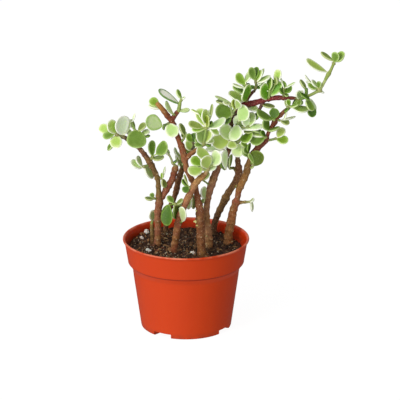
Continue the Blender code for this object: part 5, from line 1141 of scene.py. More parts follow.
# --- pot -----------------------------------------------------------------------
def outer_profile():
    """The pot's outside from the foot's middle up to the lip's inner edge, with its small radii."""
    lip_low = POT_HEIGHT - LIP_H
    line = [(0, 0), (12, 0), (24, 0), (30, 0), (FOOT_R - 0.9, 0), (FOOT_R - 0.45, 0.12), (FOOT_R - 0.15, 0.4), (FOOT_R, 0.9)]
    for k in range(1, 10):
        t = k / 10
        line.append((FOOT_R + (STEP_R - FOOT_R) * t, 0.9 + t * (STEP_Z - 2.2)))
    line += [(STEP_R - 0.12, STEP_Z - 0.9), (STEP_R - 0.02, STEP_Z - 0.1), (STEP_R + 0.12, STEP_Z + 0.5), (STEP_R + 0.45, STEP_Z + 1.2)]
    line += [(COLLAR_LOW_R - 2.55, COLLAR_LOW_Z - 3.6), (COLLAR_LOW_R - 1.55, COLLAR_LOW_Z - 2.1), (COLLAR_LOW_R - 0.95, COLLAR_LOW_Z - 1.05),
             (COLLAR_LOW_R - 0.85, COLLAR_LOW_Z - 0.75), (COLLAR_LOW_R - 0.35, COLLAR_LOW_Z - 0.60), (COLLAR_LOW_R - 0.08, COLLAR_LOW_Z - 0.3),
             (COLLAR_LOW_R, COLLAR_LOW_Z + 0.2)]
    for k in range(1, 7):
        t = k / 7
        line.append((COLLAR_LOW_R + (COLLAR_TOP_R - COLLAR_LOW_R) * t, COLLAR_LOW_Z + 0.2 + t * (lip_low - 1.6 - COLLAR_LOW_Z)))
    line += [(COLLAR_TOP_R, lip_low - 1.1), (COLLAR_TOP_R + 0.12, lip_low - 0.4), (COLLAR_TOP_R + 0.5, lip_low + 0.15), (COLLAR_TOP_R + 1.0, lip_low + 0.5),
             (LIP_R - 0.22, lip_low + 0.85), (LIP_R - 0.04, lip_low + 1.2), (LIP_R, POT_HEIGHT - 0.8), (LIP_R - 0.08, POT_HEIGHT - 0.4),
             (LIP_R - 0.3, POT_HEIGHT - 0.1), (LIP_R - 0.65, POT_HEIGHT)]
    return line


def inner_profile():
    """The inside from the lip's inner edge down to the floor's middle."""
    lip_low = POT_HEIGHT - LIP_H
    line = [(LIP_R - 1.1, POT_HEIGHT - 0.03), (LIP_R - 1.5, POT_HEIGHT - 0.22), (LIP_R - 1.85, POT_HEIGHT - 0.7), (COLLAR_TOP_R - WALL + 0.55, lip_low + 0.6),
            (COLLAR_TOP_R - WALL + 0.1, lip_low - 0.4), (COLLAR_TOP_R - WALL - 0.1, lip_low - 1.4)]
    top = COLLAR_TOP_R - WALL - 0.1
    for k in range(1, 5):
        t = k / 5
        line.append((top + (COLLAR_LOW_R - WALL - top) * t, lip_low - 1.4 + (COLLAR_LOW_Z + 0.5 - lip_low + 1.4) * t))
    line += [(COLLAR_LOW_R - WALL, COLLAR_LOW_Z + 0.5), (STEP_R - WALL, STEP_Z + 0.5)]
    for k in range(1, 5):
        t = k / 5
        line.append((STEP_R - WALL + (FOOT_R - STEP_R) * t, STEP_Z + 0.5 + (FLOOR + 1.5 - STEP_Z) * t))
    line += [(FOOT_R - WALL + 0.2, FLOOR + 1.0), (FOOT_R - WALL - 0.6, FLOOR), (18, FLOOR), (0, FLOOR)]
    return line


def make_pot(material):
    steps = 216
    angles = 2 * math.pi * np.arange(steps) / steps
    rows = outer_profile() + inner_profile()
    flipped = [(r, z) for r, z in rows]
    bm = bmesh.new()
    grid = []
    for r, z in flipped:
        grid.append([bm.verts.new((0, 0, z * MM))] if r == 0 else
                    [bm.verts.new((r * MM * math.cos(a), r * MM * math.sin(a), z * MM)) for a in angles])
    for low, high in zip(grid[:-1], grid[1:]):
        for k in range(steps):
            j = (k + 1) % steps
            if len(low) == 1:
                bm.faces.new((low[0], high[j], high[k]))
            elif len(high) == 1:
                bm.faces.new((low[k], low[j], high[0]))
            else:
                bm.faces.new((low[k], low[j], high[j], high[k]))
    bmesh.ops.recalc_face_normals(bm, faces=bm.faces)
    mesh = bpy.data.meshes.new("nursery_pot")
    bm.to_mesh(mesh)
    bm.free()
    obj = bpy.data.objects.new("nursery_pot", mesh)
    bpy.context.scene.collection.objects.link(obj)
    cutters = []
    pads = []
    for i, at in enumerate(NOTCH_ANGLES):
        pads.append(wedge(f"pad_{i}", at, NOTCH_WIDE + 4.6, FOOT_R - NOTCH_DEEP - WALL, FOOT_R + (STEP_R - FOOT_R) * 0.06 - 0.02, 0.6, NOTCH_HIGH + WALL, 14, bevel=0.5))
        cutters.append(wedge(f"notch_{i}", at, NOTCH_WIDE, FOOT_R - NOTCH_DEEP, FOOT_R + 6, -3, NOTCH_HIGH, 12, bevel=0.5))
        cutters.append(wedge(f"drain_{i}", at, 14, FOOT_R - 7.0, FOOT_R - 3.2, NOTCH_HIGH - 2, NOTCH_HIGH + 5, 6))
    for pad in pads:
        change = obj.modifiers.new("pad", "BOOLEAN")
        change.operation, change.solver, change.object = "UNION", "EXACT", pad
    for cutter in cutters:
        change = obj.modifiers.new("cut", "BOOLEAN")
        change.operation, change.solver, change.object = "DIFFERENCE", "EXACT", cutter
    graph = bpy.context.evaluated_depsgraph_get()
    finished = bpy.data.meshes.new_from_object(obj.evaluated_get(graph))
    obj.modifiers.clear()
    obj.data = finished
    for helper in pads + cutters:
        bpy.data.objects.remove(helper, do_unlink=True)
    count = len(finished.vertices)
    where = np.zeros(count * 3, np.float32)
    finished.vertices.foreach_get("co", where)
    where = where.reshape(-1, 3) / MM
    r = np.hypot(where[:, 0], where[:, 1])
    z = where[:, 2]
    wall = np.interp(z, [0, STEP_Z, COLLAR_LOW_Z, POT_HEIGHT - LIP_H, POT_HEIGHT - 0.4], [FOOT_R, STEP_R, COLLAR_LOW_R, COLLAR_TOP_R, LIP_R])
    inside = np.clip((wall - 0.9 - r) / 0.5, 0, 1) * (z > FLOOR)
    # the top band of the lip, where the material paints a highlight
    lip = np.clip((z - (POT_HEIGHT - 1.3)) / 0.6, 0, 1)
    # painted shadow: a thin dark line just under the collar's lower edge, outside only
    painted_crease_shadow = np.exp(-(((z - COLLAR_LOW_Z + 0.95) / 0.65) ** 2)) * (r > COLLAR_LOW_R - 1.3) * (inside < 0.5)
    # soil dirt on the inner wall above the soil line, which also serves as painted contact shade, and dirt round the
    # foot
    soil_dirt_and_shade = np.clip(1.15 - (z - 68) / 5, 0, 1.1) * inside + 0.5 * np.clip(1 - z / 5, 0, 1)
    # painted shade on the inner wall, darkest at the left and towards the soil
    painted_shade_and_dirt = inside * (0.25 + 0.75 * np.clip((-where[:, 0] - 8) / 30, 0, 1)) * np.clip(1.35 - (z - 68) / 10, 0, 1)
    for key, value in (("inside", inside), ("lip", lip), ("soil_dirt_and_shade", soil_dirt_and_shade), ("painted_crease_shadow", painted_crease_shadow), ("painted_shade_and_dirt", painted_shade_and_dirt)):
        layer = finished.attributes.new(key, "FLOAT", "POINT")
        layer.data.foreach_set("value", value.astype(np.float32))
    finished.materials.clear()
    finished.materials.append(material)
    finished.shade_smooth()
    finished.set_sharp_from_angle(angle=math.radians(42))
    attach(obj, "root")
    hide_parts("pot")
    return obj


def wedge(name, angle, wide, inner, outer, low, high, count, bevel=0.0):
    """A closed piece of a ring used to shape the foot, its edges eased by `bevel`."""
    bm = bmesh.new()
    grid = {}
    for level, z in enumerate((low, high)):
        for band, radius in enumerate((inner, outer)):
            for k in range(count + 1):
                a = math.radians(angle - wide / 2 + wide * k / count - 90)
                grid[level, band, k] = bm.verts.new((radius * MM * math.cos(a), radius * MM * math.sin(a), z * MM))
    for k in range(count):
        bm.faces.new([grid[0, 0, k], grid[0, 0, k + 1], grid[0, 1, k + 1], grid[0, 1, k]])
        bm.faces.new([grid[1, 0, k], grid[1, 1, k], grid[1, 1, k + 1], grid[1, 0, k + 1]])
        bm.faces.new([grid[0, 0, k], grid[1, 0, k], grid[1, 0, k + 1], grid[0, 0, k + 1]])
        bm.faces.new([grid[0, 1, k], grid[0, 1, k + 1], grid[1, 1, k + 1], grid[1, 1, k]])
    for k in (0, count):
        bm.faces.new([grid[0, 0, k], grid[0, 1, k], grid[1, 1, k], grid[1, 0, k]])
    bmesh.ops.recalc_face_normals(bm, faces=bm.faces)
    if bevel:
        edges = [e for e in bm.edges if e.calc_face_angle(0) > 0.9]
        bmesh.ops.bevel(bm, geom=edges, offset=bevel * MM, segments=2, affect="EDGES", profile=0.5)
    mesh = bpy.data.meshes.new(name)
    bm.to_mesh(mesh)
    bm.free()
    obj = bpy.data.objects.new(name, mesh)
    bpy.context.scene.collection.objects.link(obj)
    obj.hide_render = True
    return obj


# --- soil ----------------------------------------------------------------------
SOILS = ("2A1B12", "33231A", "5C4430", "6E5238", "4A3424", "7C6044", "241710", "8A6C4C", "5A3E2C")
CHIPS = ("8A6C4A", "A88860", "6E5036", "C2A880", "7A4A34")


def hollow_radius(z, inset):
    return np.interp(z, [FLOOR + 1, STEP_Z + 0.5, COLLAR_LOW_Z + 0.5, POT_HEIGHT - LIP_H],
                     [FOOT_R - WALL + 0.2, STEP_R - WALL, COLLAR_LOW_R - WALL, COLLAR_TOP_R - WALL]) - inset


def rough_height(x, y):
    base = soil_height(x, y)
    return base + 0.75 * noise.noise(Vector((x / 3.1, y / 3.1, 4.0))) + 0.45 * noise.noise(Vector((x / 1.35, y / 1.35, 9.0)))


def build_soil(material):
    sculpt = Sculpt()
    sides = 168
    angles = 2 * math.pi * np.arange(sides) / sides
    edge = float(hollow_radius(SOIL_Z, 0.05))
    radii = np.concatenate([np.linspace(1.0, edge - 1.2, 60), [edge - 0.4]])
    rows = []
    for r in radii:
        ring = []
        for a in angles:
            x, y = r * math.cos(a), r * math.sin(a)
            ring.append((x, y, rough_height(x, y)))
        rows.append(ring)
    rim = []
    for a in angles:
        z = soil_height(edge * math.cos(a), edge * math.sin(a)) - 0.5
        r = float(hollow_radius(z, 0.02))
        rim.append((r * math.cos(a), r * math.sin(a), z))
    rows.append(rim)
    for z in (60, COLLAR_LOW_Z + 0.5, STEP_Z + 0.5, 30, 12, 7.0):
        r = float(hollow_radius(z, 0.25))
        rows.append([(r * math.cos(a), r * math.sin(a), z) for a in angles])
    points = np.array(rows).reshape(-1, 3)
    n = len(points)
    points = np.vstack([points, [(0, 0, rough_height(0, 0)), (0, 0, 7.0)]])
    faces = [tuple(reversed(f)) for f in ring_faces(len(rows), sides)]
    faces += [(k, (k + 1) % sides, n) for k in range(sides)]
    faces += [(n - sides + (k + 1) % sides, n - sides + k, n + 1) for k in range(sides)]
    tone = field(points, 4.5, 3.0)[:, None]
    tint = (linear("3E2A1C") * (1 + 0.4 * tone) + linear("1B120C") * 0.15) * np.array([1.12, 0.98, 0.84])
    sculpt.add(points, faces, tint=np.clip(tint, 0.002, 1))
    return sculpt.make("soil_bed", material, "soil")


def lump(rng, sizes, rounds=1, rough=0.22):
    """An uneven crumb about the origin."""
    bm = bmesh.new()
    bmesh.ops.create_icosphere(bm, subdivisions=rounds, radius=1.0)
    points = np.array([v.co[:] for v in bm.verts])
    faces = [tuple(v.index for v in f.verts) for f in bm.faces]
    bm.free()
    shift = rng.uniform(0, 50)
    swell = 1 + rough * 1.6 * field(points * 1.0, 0.62, shift)
    points = points * swell[:, None] * np.asarray(sizes)
    a, b, c = rng.uniform(0, 2 * math.pi, 3)
    rz = np.array([[math.cos(a), -math.sin(a), 0], [math.sin(a), math.cos(a), 0], [0, 0, 1]])
    rx = np.array([[1, 0, 0], [0, math.cos(b * 0.25), -math.sin(b * 0.25)], [0, math.sin(b * 0.25), math.cos(b * 0.25)]])
    return points @ rx.T @ rz.T, faces


def build_crumbs(material):
    rng = np.random.default_rng(77)
    shapes = [lump(rng, (1, 1, 1), 1, 0.3) for _ in range(24)]
    sculpt = Sculpt()
    placed = 0
    while placed < 1450:
        x, y = rng.uniform(-48.5, 48.5, 2)
        r = math.hypot(x, y)
        if r > 48.2:
            continue
        size = float(np.clip(rng.lognormal(-0.08, 0.42), 0.42, 2.3))
        z = rough_height(x, y)
        if r + size > float(hollow_radius(z + size, 0.1)):
            continue
        shape, faces = shapes[int(rng.integers(len(shapes)))]
        chip = rng.random() < 0.20
        stretch = (rng.uniform(1.8, 3.6), rng.uniform(0.5, 0.8), rng.uniform(0.3, 0.6)) if chip else rng.uniform(0.65, 1.25, 3)
        turn = rng.uniform(0, 2 * math.pi)
        c, s = math.cos(turn), math.sin(turn)
        local = shape * stretch * size * (0.6 if chip else 0.8)
        local = local @ np.array([[c, -s, 0], [s, c, 0], [0, 0, 1]]).T
        tilt = rng.uniform(-0.3, 0.3)
        local = local @ np.array([[1, 0, 0], [0, math.cos(tilt), -math.sin(tilt)], [0, math.sin(tilt), math.cos(tilt)]]).T
        code = CHIPS[int(rng.integers(len(CHIPS)))] if chip else SOILS[int(rng.integers(len(SOILS)))]
        # crumbs are painted lighter towards the left: painted light where the light falls
        tint = linear(code) * rng.uniform(0.7, 1.15) * (1.12 - 0.012 * x + 0.010 * max(0.0, -x - 10)) * np.array([0.84, 0.78, 0.70] if chip else [1.05, 0.94, 0.80])
        sculpt.add(local + (x, y, z + size * rng.uniform(0.05, 0.55)), faces, tint=tint)
        placed += 1
    while placed < 1760:
        x, y = rng.uniform(-48.5, 48.5, 2)
        if math.hypot(x, y) > 47.8 or x > rng.uniform(-40, 70):
            continue
        size = rng.uniform(0.24, 0.62)
        shape, faces = shapes[int(rng.integers(len(shapes)))]
        sculpt.add(shape * size * rng.uniform(0.7, 1.3, 3) + (x, y, rough_height(x, y) + 0.3 + size * 0.4), faces,
                   tint=linear("D2C6AC") * rng.uniform(0.45, 1.0))
        placed += 1
    for across, down, sizes, code in (
            (177.6, 250.4, (1.9, 1.1, 0.8), "B9A27C"), (166.4, 253.0, (1.0, 0.8, 0.7), "D8CCB0"), (207.0, 244.6, (0.8, 0.7, 0.7), "D9CBA8"),
            (171.5, 245.6, (1.0, 0.8, 0.7), "D2C6AA"), (166.7, 234.4, (1.6, 1.2, 0.9), "A9A48C"), (153.5, 241.5, (0.9, 0.8, 0.6), "8E7F66"),
            (234.6, 248.8, (1.1, 0.7, 0.6), "A8906A"), (230.6, 241.7, (0.9, 0.7, 0.6), "9C8A68"), (214.0, 250.0, (0.8, 0.6, 0.5), "7E6A50"),
            (160.5, 250.0, (0.8, 0.6, 0.5), "9A8A6C"), (186.5, 246.0, (0.7, 0.6, 0.5), "8C7A5E"), (140.2, 242.6, (0.9, 0.7, 0.6), "8A8068"),
            (222.5, 246.0, (0.8, 0.6, 0.5), "7A6850"), (183.0, 236.0, (0.8, 0.6, 0.5), "6E5C44"), (151.5, 236.0, (0.9, 0.7, 0.6), "A79C84")):
        spot = soil_spot(across, down)
        local, faces = lump(rng, sizes, 2, 0.25)
        sculpt.add(local + spot + (0, 0, 0.35), faces, tint=linear(code))
    return sculpt.make("soil_crumbs", material)


def build_grains(material):
    rng = np.random.default_rng(5)
    for name, (across, down, sizes) in GRAINS.items():
        spot = soil_spot(across, down)
        spot[2] += sizes[2] * 0.35
        local, faces = lump(rng, np.asarray(sizes) * 1.03, 4, 0.22)
        sculpt = Sculpt()
        sculpt.add(local + spot, faces)
        sculpt.make(name + "_grain", material, name)


# --- stems ---------------------------------------------------------------------
STEM_COLOURS = {
    "stem_left": [[(0, "A4695A"), (0.18, "A26A50"), (0.3, "A87256"), (0.42, "986246"), (0.5, "8A7444"), (0.62, "86703E"), (0.72, "6E5238"), (0.85, "7A4C38"), (1, "4E3A2A")],
                  [(0, "B0735A"), (0.35, "9C5A46"), (0.6, "A05E48"), (0.8, "8A5238"), (1, "B08858")]],
    "stem_left_thin": [[(0, "7A5638"), (0.6, "80643A"), (1, "8E8A4C")]],
    "stem_back_left": [[(0, "6A4A34"), (0.45, "6E4C32"), (0.7, "8A6244"), (1, "86604A")]],
    "stem_centre_left": [[(0, "A06A40"), (0.2, "A26244"), (0.45, "A86A4A"), (0.62, "BC8466"), (0.8, "B4805C"), (0.9, "C09A68"), (1, "B88A50")]],
    "stem_main": [[(0, "8A5A34"), (0.15, "8A5C34"), (0.3, "865432"), (0.45, "885434"), (0.6, "A8704E"), (0.7, "8E4E34"), (0.78, "9A5838"), (0.9, "84462E"), (0.95, "A8703E"), (1, "C89A58")],
                  [(0, "7A3A2A"), (1, "8C4A36")], [(0, "7A3E2C"), (1, "6A5234")], [(0, "9C6242"), (1, "9E7446")]],
    "stem_centre": [[(0, "B08864"), (0.2, "B48A66"), (0.35, "A87C62"), (0.45, "9A6C54"), (0.52, "74483A"), (0.6, "46281E"), (0.68, "522A22"), (0.74, "86343A"), (0.92, "86323A"), (1, "7A4430")],
                    [(0, "66302A"), (1, "5C3422")], [(0, "7A3030"), (1, "6E3626")]],
    "stem_right": [[(0, "A88056"), (0.15, "B07E4C"), (0.3, "A2693E"), (0.38, "9A4E40"), (0.45, "A8783E"), (0.55, "8E6E3E"), (0.66, "8A4E3A"), (0.78, "7C3A2A"), (0.9, "84442E"), (1, "7A5434")],
                   [(0, "9A7A48"), (1, "9E9C58")]],
    "stem_back_right": [[(0, "5E4230"), (0.3, "6E5236"), (0.5, "8A7048"), (0.7, "96744C"), (0.85, "9A6C4A"), (1, "7C5040")], [(0, "8E7640"), (1, "7E8A40")]],
}


FOOT_DEEP = STEM_BURIED + 0.5
YOUNG_WOOD = {
    ("stem_centre", 0): ((0, 0), (0.64, 0), (0.73, 1), (1, 1)), ("stem_centre", 1): ((0, 0.8), (1, 0.8)), ("stem_centre", 2): ((0, 0.8), (1, 0.8)),
    ("stem_right", 0): ((0, 0), (0.62, 0), (0.76, 0.7), (1, 0.8)), ("stem_main", 0): ((0, 0), (0.6, 0), (0.7, 0.45), (1, 0.45)),
    ("stem_main", 1): ((0, 0.5), (1, 0.5)), ("stem_left", 1): ((0, 0.3), (1, 0.2)),
}


def build_stems(material):
    for n, name in enumerate(STEMS):
        sculpt = Sculpt()
        for i, (points, radii) in enumerate(stem_tubes(name)):
            stops = STEM_COLOURS[name][i]
            cut = name == "stem_main" and i == 0
            limb(sculpt, points, radii, stops, 11 * n + i, sides=28 if i == 0 else 20, step=0.55,
                 knuckle=6.8 if i == 0 else 5.2, end="cut" if cut else "round", end_colour="B98E58",
                 young=YOUNG_WOOD.get((name, i), ()), painted_shade_and_dirt=FOOT_DEEP if i == 0 else 0.0)
        sculpt.make(name + "_bark", material, name)


# --- shoots --------------------------------------------------------------------
TWIG_COLOURS = {
    "shoot_far_left": ("5A3F2C", "7A8048"), "shoot_left_big": ("6A5236", "7E9A4C"), "shoot_left_base": ("8A8A4C", "8AA254"),
    "shoot_main_top": ("8A9C50", "94A858"), "shoot_long_low": ("8EA24A", "A6B46C"), "shoot_long_tip": ("8EA24E", "90A04A"),
    "shoot_end_node": ("7A9440", "6E9038"), "shoot_end_left": ("6A4030", "7A8A48"), "shoot_rosette": ("8A6A48", "8EA858"),
    "shoot_heart": ("8A5842", "98A868"), "shoot_heart_top": ("4E3024", "8CA45C"), "shoot_front": ("A07A54", "94A860"),
    "shoot_side": ("5A3A2A", "4E4A2C"), "shoot_right_pair": ("6E4A38", "7A9048"), "shoot_crest_left": ("5A3428", "8CA450"),
    "shoot_crest_fan": ("4E2C20", "6E7A40"), "shoot_crest_round": ("6A3230", "8CA856"), "shoot_crest_right": ("6A3230", "7A9048"),
    "shoot_hanging": ("5E3024", "5E3A2C"), "shoot_top_left": ("4A2A22", "9AAC70"), "shoot_right_withered": ("8E8A50", "A8B074"),
    "shoot_back_left": ("74503A", "7E8E44"), "shoot_second_tip": ("9C8A58", "BCC48C"), "shoot_main_left": ("6A4A38", "5E7A3C"),
}


NARROW = {("leaf_main_fork", 0): 0.72, ("shoot_main_top", 1): 0.72, ("shoot_end_node", 1): 0.9}


def build_shoots(material):
    frames = settled()
    for n, (name, shoot) in enumerate(SHOOTS.items()):
        sculpt = Sculpt()
        low, high = TWIG_COLOURS.get(name, ("6E5238", "7E9148"))
        for i, twig in enumerate(shoot["twigs"]):
            points, radii = track(twig)
            if i == 0:
                points[0] = points[0] - unit(points[1] - points[0]) * 1.3
            feet = []
            s = np.concatenate([[0], np.cumsum(np.linalg.norm(np.diff(points, axis=0), axis=1))])
            for k in range(len(shoot["leaves"])):
                root = frames[(name, k)][0]
                for j in range(len(points) - 1):
                    span = points[j + 1] - points[j]
                    t = float(np.dot(root - points[j], span) / np.dot(span, span))
                    if -0.05 <= t <= 1.05 and np.linalg.norm(points[j] + t * span - root) < 0.15:
                        feet.append(s[j] + t * (s[j + 1] - s[j]))
                        break
            stops = [(0, low if i == 0 else high), (0.55, high), (1, high)]
            limb(sculpt, points, radii, stops, 300 + 7 * n + i, sides=14, step=0.5, knuckle=0, swell=0.16, scars=0.1, nodes=feet)
        for values in (("middle", (0.1, 0.2, 0.05)), ("edge", (0.1, 0.2, 0.05)), ("rimcol", (0.1, 0.2, 0.05))):
            sculpt.values.setdefault(values[0], []).append((0, np.broadcast_to(np.array(values[1]), (sculpt.count, 3))))
        sculpt.values.setdefault("rimgap", []).append((0, np.ones(sculpt.count)))
        for k, leaf in enumerate(shoot["leaves"]):
            blade(sculpt, frames[(name, k)], leaf[6], 1000 + 37 * n + k, NARROW.get((name, k), 1.0))
        sculpt.make(name + "_foliage", material, name)


def build_buds(material):
    """Small pale buds that break from the wood above old leaf scars."""
    rng = np.random.default_rng(31)
    c, s = math.cos(LOOK_DOWN), math.sin(LOOK_DOWN)
    wood = []
    for name in STEMS:
        for points, radii in stem_tubes(name):
            places, r, at = curve_through(points, radii, 0.5)
            away = places - np.array(STATION)
            deep = away[:, 1] * c - away[:, 2] * s
            wood.append((MIDDLE + SIGHT * away[:, 0] / deep, MIDDLE - SIGHT * (away[:, 1] * s + away[:, 2] * c) / deep, places, r))
    sculpt = Sculpt()
    for across, down, size, code in BUDS:
        best = None
        for a, d, places, r in wood:
            gap = np.hypot(a - across, d - down) + 0.06 * places[:, 1]
            k = int(np.argmin(gap))
            if best is None or gap[k] < best[0]:
                best = (gap[k], places[k], r[k])
        spot = sight(across, down, best[1][1] - 0.4 * best[2])
        out = unit(unit(spot - best[1]) + unit(np.array(STATION) - spot) * 0.6)
        spot = best[1] + unit(spot - best[1]) * best[2] * 1.02
        side = unit(np.cross(out, (0.2, 0.3, 1.0)))
        other = np.cross(out, side)
        for turn in (-0.45, 0.45):
            local, faces = lump(rng, (size * 0.42, size * 0.42, size * 0.85), 2, 0.12)
            lean = unit(out + side * turn)
            across_lean = unit(np.cross(lean, other))
            local = local @ np.array([across_lean, np.cross(lean, across_lean), lean])
            sculpt.add(local + spot + lean * size * 0.45, faces, middle=linear(code), edge=linear("E4E6BE"), rimcol=linear("ECEBCB"), rimshare=0.3,
                       marginwide=0.6, rimgap=1.2, upper=1.0, down=0.6, kind=1.0, speck=3.0, calm=0.34, tint=(0.4, 0.4, 0.2), scar=0.0, ring=0.0,
                       wrap=(0.0, 0.0, 0.0))
    return sculpt.make("stem_buds", material)


BUDS = (
    (195.3, 221.5, 2.0, "D8D488"), (198.2, 225.6, 1.3, "C7C070"), (197.8, 210.8, 1.3, "D2CA7C"), (235.8, 185.6, 2.1, "C4C868"), (234.2, 186.4, 1.0, "A8A85C"),
    (228.0, 219.5, 1.0, "A8965C"), (207.6, 236.0, 1.2, "C4B47C"), (230.8, 241.4, 1.0, "BCA878"), (206.4, 243.8, 1.2, "C8BC88"), (209.0, 225.0, 0.9, "B4A06C"),
    (194.0, 221.0, 0.9, "A9B468"), (183.4, 164.2, 1.1, "9CB05C"), (179.8, 163.6, 1.2, "94AC50"), (202.8, 206.5, 1.0, "BFC188"), (160.8, 243.5, 0.9, "B49C74"),
)


def build_rear(material):
    """Side shoots that grow away from the viewer, behind the ones in front."""
    for n, (name, low, start, end, leaves) in enumerate(REAR):
        sculpt = Sculpt()
        first, last = sight(*start), sight(*end)
        points = np.array([first, first * 0.55 + last * 0.45 + (0, 0, -0.8), last])
        places, r, s = curve_through(points, [0.95, 0.8, 0.6], 0.5)
        limb(sculpt, points, [0.95, 0.8, 0.6], [(0, low), (0.5, "7E9148"), (1, "94A858")], 700 + n, sides=12, step=0.5, knuckle=0, swell=0.16,
             scars=0.1, nodes=[leaf[0] * s[-1] for leaf in leaves])
        for key in ("middle", "edge", "rimcol"):
            sculpt.values.setdefault(key, []).append((0, np.broadcast_to(np.array((0.1, 0.2, 0.05)), (sculpt.count, 3))))
        sculpt.values.setdefault("rimgap", []).append((0, np.ones(sculpt.count)))
        for k, (share, across, down, back, width, tone) in enumerate(leaves):
            root = np.array([np.interp(share * s[-1], s, places[:, i]) for i in range(3)])
            tip = sight(across, down, back)
            axis = unit(tip - root)
            away = unit(np.array((0.25 * math.sin(2.3 * k + n), 1.0, 0.45)))
            up = unit(away - axis * np.dot(away, axis))
            blade(sculpt, (root, root + axis * 0.9, tip, axis, np.cross(axis, up), up, float(np.linalg.norm(tip - root)) - 0.9, width), tone, 5000 + 31 * n + k)
        sculpt.make("rear_" + name, material)


# (name, colour at the foot, twig from, twig to, leaves); a place is (across, down, set back)
# and a leaf is (share of the twig at its foot, tip across, tip down, tip set back, width, tone)
REAR = (
    ("heart", "6A4234", (230.8, 141.0, 11), (235.0, 138.5, 26),
     ((0.30, 225.0, 141.0, 18, 8.4, "G"), (0.36, 239.5, 143.5, 19, 8.0, "P"), (0.58, 230.5, 132.0, 24, 8.0, "G"), (0.62, 233.0, 147.0, 26, 7.6, "M"),
      (0.84, 243.0, 136.0, 29, 8.4, "P"), (0.88, 229.5, 139.0, 31, 7.2, "G"), (1.0, 238.5, 133.0, 33, 7.6, "M"))),
    ("front", "9A7048", (204.6, 173.0, -13), (206.5, 165.5, 1),
     ((0.40, 210.0, 168.0, -4, 8.0, "P"), (0.45, 200.0, 164.5, -3, 7.2, "G"), (0.75, 210.5, 161.5, 4, 7.8, "G"), (0.80, 203.0, 161.0, 5, 7.4, "M"),
      (1.0, 207.5, 169.0, 9, 7.2, "P"))),
    ("main", "8A5A40", (184.6, 157.5, -2.5), (191.0, 148.0, 11),
     ((0.45, 188.0, 144.5, 7, 7.8, "G"), (0.52, 196.0, 150.0, 9, 7.6, "P"), (0.76, 192.5, 142.5, 15, 8.2, "M"), (0.80, 187.0, 150.5, 15, 7.0, "G"),
      (1.0, 196.5, 144.5, 19, 7.8, "G"))),
    ("crest", "70342E", (250.5, 103.8, 6), (247.0, 107.5, 18),
     ((0.50, 242.5, 110.0, 14, 7.0, "G"), (0.62, 251.5, 108.5, 17, 6.0, "D"), (0.90, 238.5, 112.0, 22, 6.8, "P"), (1.0, 246.5, 108.5, 25, 6.4, "G"))),
    ("upper", "5A3026", (232.4, 118.5, 9), (233.0, 112.5, 21),
     ((0.42, 226.5, 110.5, 15, 7.6, "G"), (0.52, 238.0, 111.5, 18, 7.2, "D"), (0.80, 228.5, 115.5, 23, 7.2, "P"), (1.0, 234.0, 109.5, 27, 6.8, "G"))),
    ("crest_top", "70342E", (262.0, 100.4, 5), (265.0, 93.5, 14),
     ((0.70, 269.0, 87.5, 15, 6.2, "G"), (0.75, 262.0, 94.5, 16, 5.4, "G"), (1.0, 264.5, 89.5, 20, 6.0, "M"))),
    ("far_left", "5A4030", (123.9, 137.0, -7), (118.5, 131.5, 5),
     ((0.50, 113.0, 130.5, 2, 7.8, "P"), (0.58, 121.0, 126.5, 4, 7.0, "G"), (1.0, 115.5, 133.5, 11, 6.4, "M"))),
    ("left_big", "5E4430", (132.0, 142.3, -5), (135.5, 136.5, 5),
     ((0.70, 132.0, 134.0, 5, 6.6, "G"), (0.80, 140.0, 137.5, 6, 6.2, "D"), (1.0, 136.5, 132.8, 11, 6.6, "G"))),
)


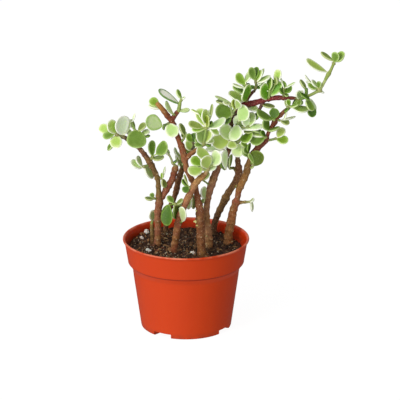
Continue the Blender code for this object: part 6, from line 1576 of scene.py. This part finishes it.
# --- stage ---------------------------------------------------------------------
def build_stage():
    mesh = bpy.data.meshes.new("floor")
    bm = bmesh.new()
    bmesh.ops.create_grid(bm, x_segments=8, y_segments=8, size=6.0)
    bm.to_mesh(mesh)
    bm.free()
    floor = bpy.data.objects.new("floor", mesh)
    bpy.context.scene.collection.objects.link(floor)
    m = Nodes("pale_floor")
    m.link(m.mix(m.noise(3.0, 2), (0.10, 0.10, 0.10), (0.12, 0.12, 0.12)), m.shader.inputs["Base Color"])
    m.shader.inputs["Roughness"].default_value = 1.0
    m.shader.inputs["Specular IOR Level"].default_value = 0.0
    m.shader.inputs["Emission Color"].default_value = (1, 1, 1, 1)
    m.shader.inputs["Emission Strength"].default_value = 0.94
    mesh.materials.append(m.material)
    floor.visible_diffuse = False
    floor.visible_glossy = False

    world = bpy.data.worlds.new("studio")
    bpy.context.scene.world = world
    world.use_nodes = True
    tree = world.node_tree
    tree.nodes.clear()
    out = tree.nodes.new("ShaderNodeOutputWorld")
    seen = tree.nodes.new("ShaderNodeBackground")
    seen.inputs["Color"].default_value = (1, 1, 1, 1)
    seen.inputs["Strength"].default_value = 1.05
    around = tree.nodes.new("ShaderNodeBackground")
    around.inputs["Color"].default_value = (1.0, 1.0, 1.0, 1)
    # a broad soft box at the left, front and above; the rest of the room is dim
    sky = tree.nodes.new("ShaderNodeTexCoord")
    total = None
    for low, high, strength, towards in SOFT_BOXES:
        dot = tree.nodes.new("ShaderNodeVectorMath")
        dot.operation = "DOT_PRODUCT"
        dot.inputs[1].default_value = Vector(towards).normalized()
        tree.links.new(sky.outputs["Generated"], dot.inputs[0])
        shape = tree.nodes.new("ShaderNodeMapRange")
        shape.interpolation_type = "SMOOTHSTEP"
        shape.inputs["From Min"].default_value = low
        shape.inputs["From Max"].default_value = high
        shape.inputs["To Max"].default_value = strength
        tree.links.new(dot.outputs["Value"], shape.inputs["Value"])
        add = tree.nodes.new("ShaderNodeMath")
        add.inputs[1].default_value = AMBIENT
        tree.links.new(shape.outputs["Result"], add.inputs[0])
        if total:
            tree.links.new(total, add.inputs[1])
        total = add.outputs[0]
    tree.links.new(total, around.inputs["Strength"])
    path = tree.nodes.new("ShaderNodeLightPath")
    mix = tree.nodes.new("ShaderNodeMixShader")
    tree.links.new(path.outputs["Is Camera Ray"], mix.inputs[0])
    tree.links.new(around.outputs[0], mix.inputs[1])
    tree.links.new(seen.outputs[0], mix.inputs[2])
    tree.links.new(mix.outputs[0], out.inputs["Surface"])

    for name, place, size, power, colour in LAMPS:
        light = bpy.data.lights.new(name, "AREA")
        light.shape = "DISK"
        light.size = size
        light.energy = power
        light.color = colour
        lamp = bpy.data.objects.new(name, light)
        lamp.location = place
        aim = Vector((0.02, 0.0, 0.12)) - Vector(place)
        lamp.rotation_euler = aim.to_track_quat("-Z", "Y").to_euler()
        bpy.context.scene.collection.objects.link(lamp)

    camera_data = bpy.data.cameras.new("camera")
    camera_data.lens = SIGHT / 400 * 36
    camera_data.sensor_width = 36
    camera_data.clip_start = 0.05
    camera_data.clip_end = 50
    camera = bpy.data.objects.new("camera", camera_data)
    camera.location = Vector(STATION) * MM
    camera.rotation_euler = (math.pi / 2 - LOOK_DOWN, 0, 0)
    bpy.context.scene.collection.objects.link(camera)
    bpy.context.scene.camera = camera
    bpy.context.scene.view_settings.view_transform = "Standard"
    bpy.context.scene.view_settings.look = "None"


AMBIENT = 0.20
SOFT_BOXES = (
    (-0.15, 0.95, 0.74, (-0.56, -0.79, 0.25)),
    (0.0, 1.0, 0.45, (-0.25, -0.35, -0.9)),
    (0.0, 1.0, 0.14, (0.0, 0.0, 1.0)),
    (0.3, 1.0, 0.20, (1.0, -0.3, 0.1)),
)
LAMPS = (
    ("key", (-1.08, -1.28, 0.78), 0.60, 13.0, (1.0, 0.98, 0.94)),
    ("rim", (-0.3, 0.9, 0.9), 0.7, 1.4, (1.0, 1.0, 1.0)),
)

foliage = leaf_material()
bark = bark_material()
mix_earth = soil_material()
make_pot(pot_material())
build_soil(mix_earth)
build_crumbs(mix_earth)
build_grains(perlite_material())
build_stems(bark)
build_shoots(foliage)
build_buds(foliage)
build_rear(foliage)
build_stage()
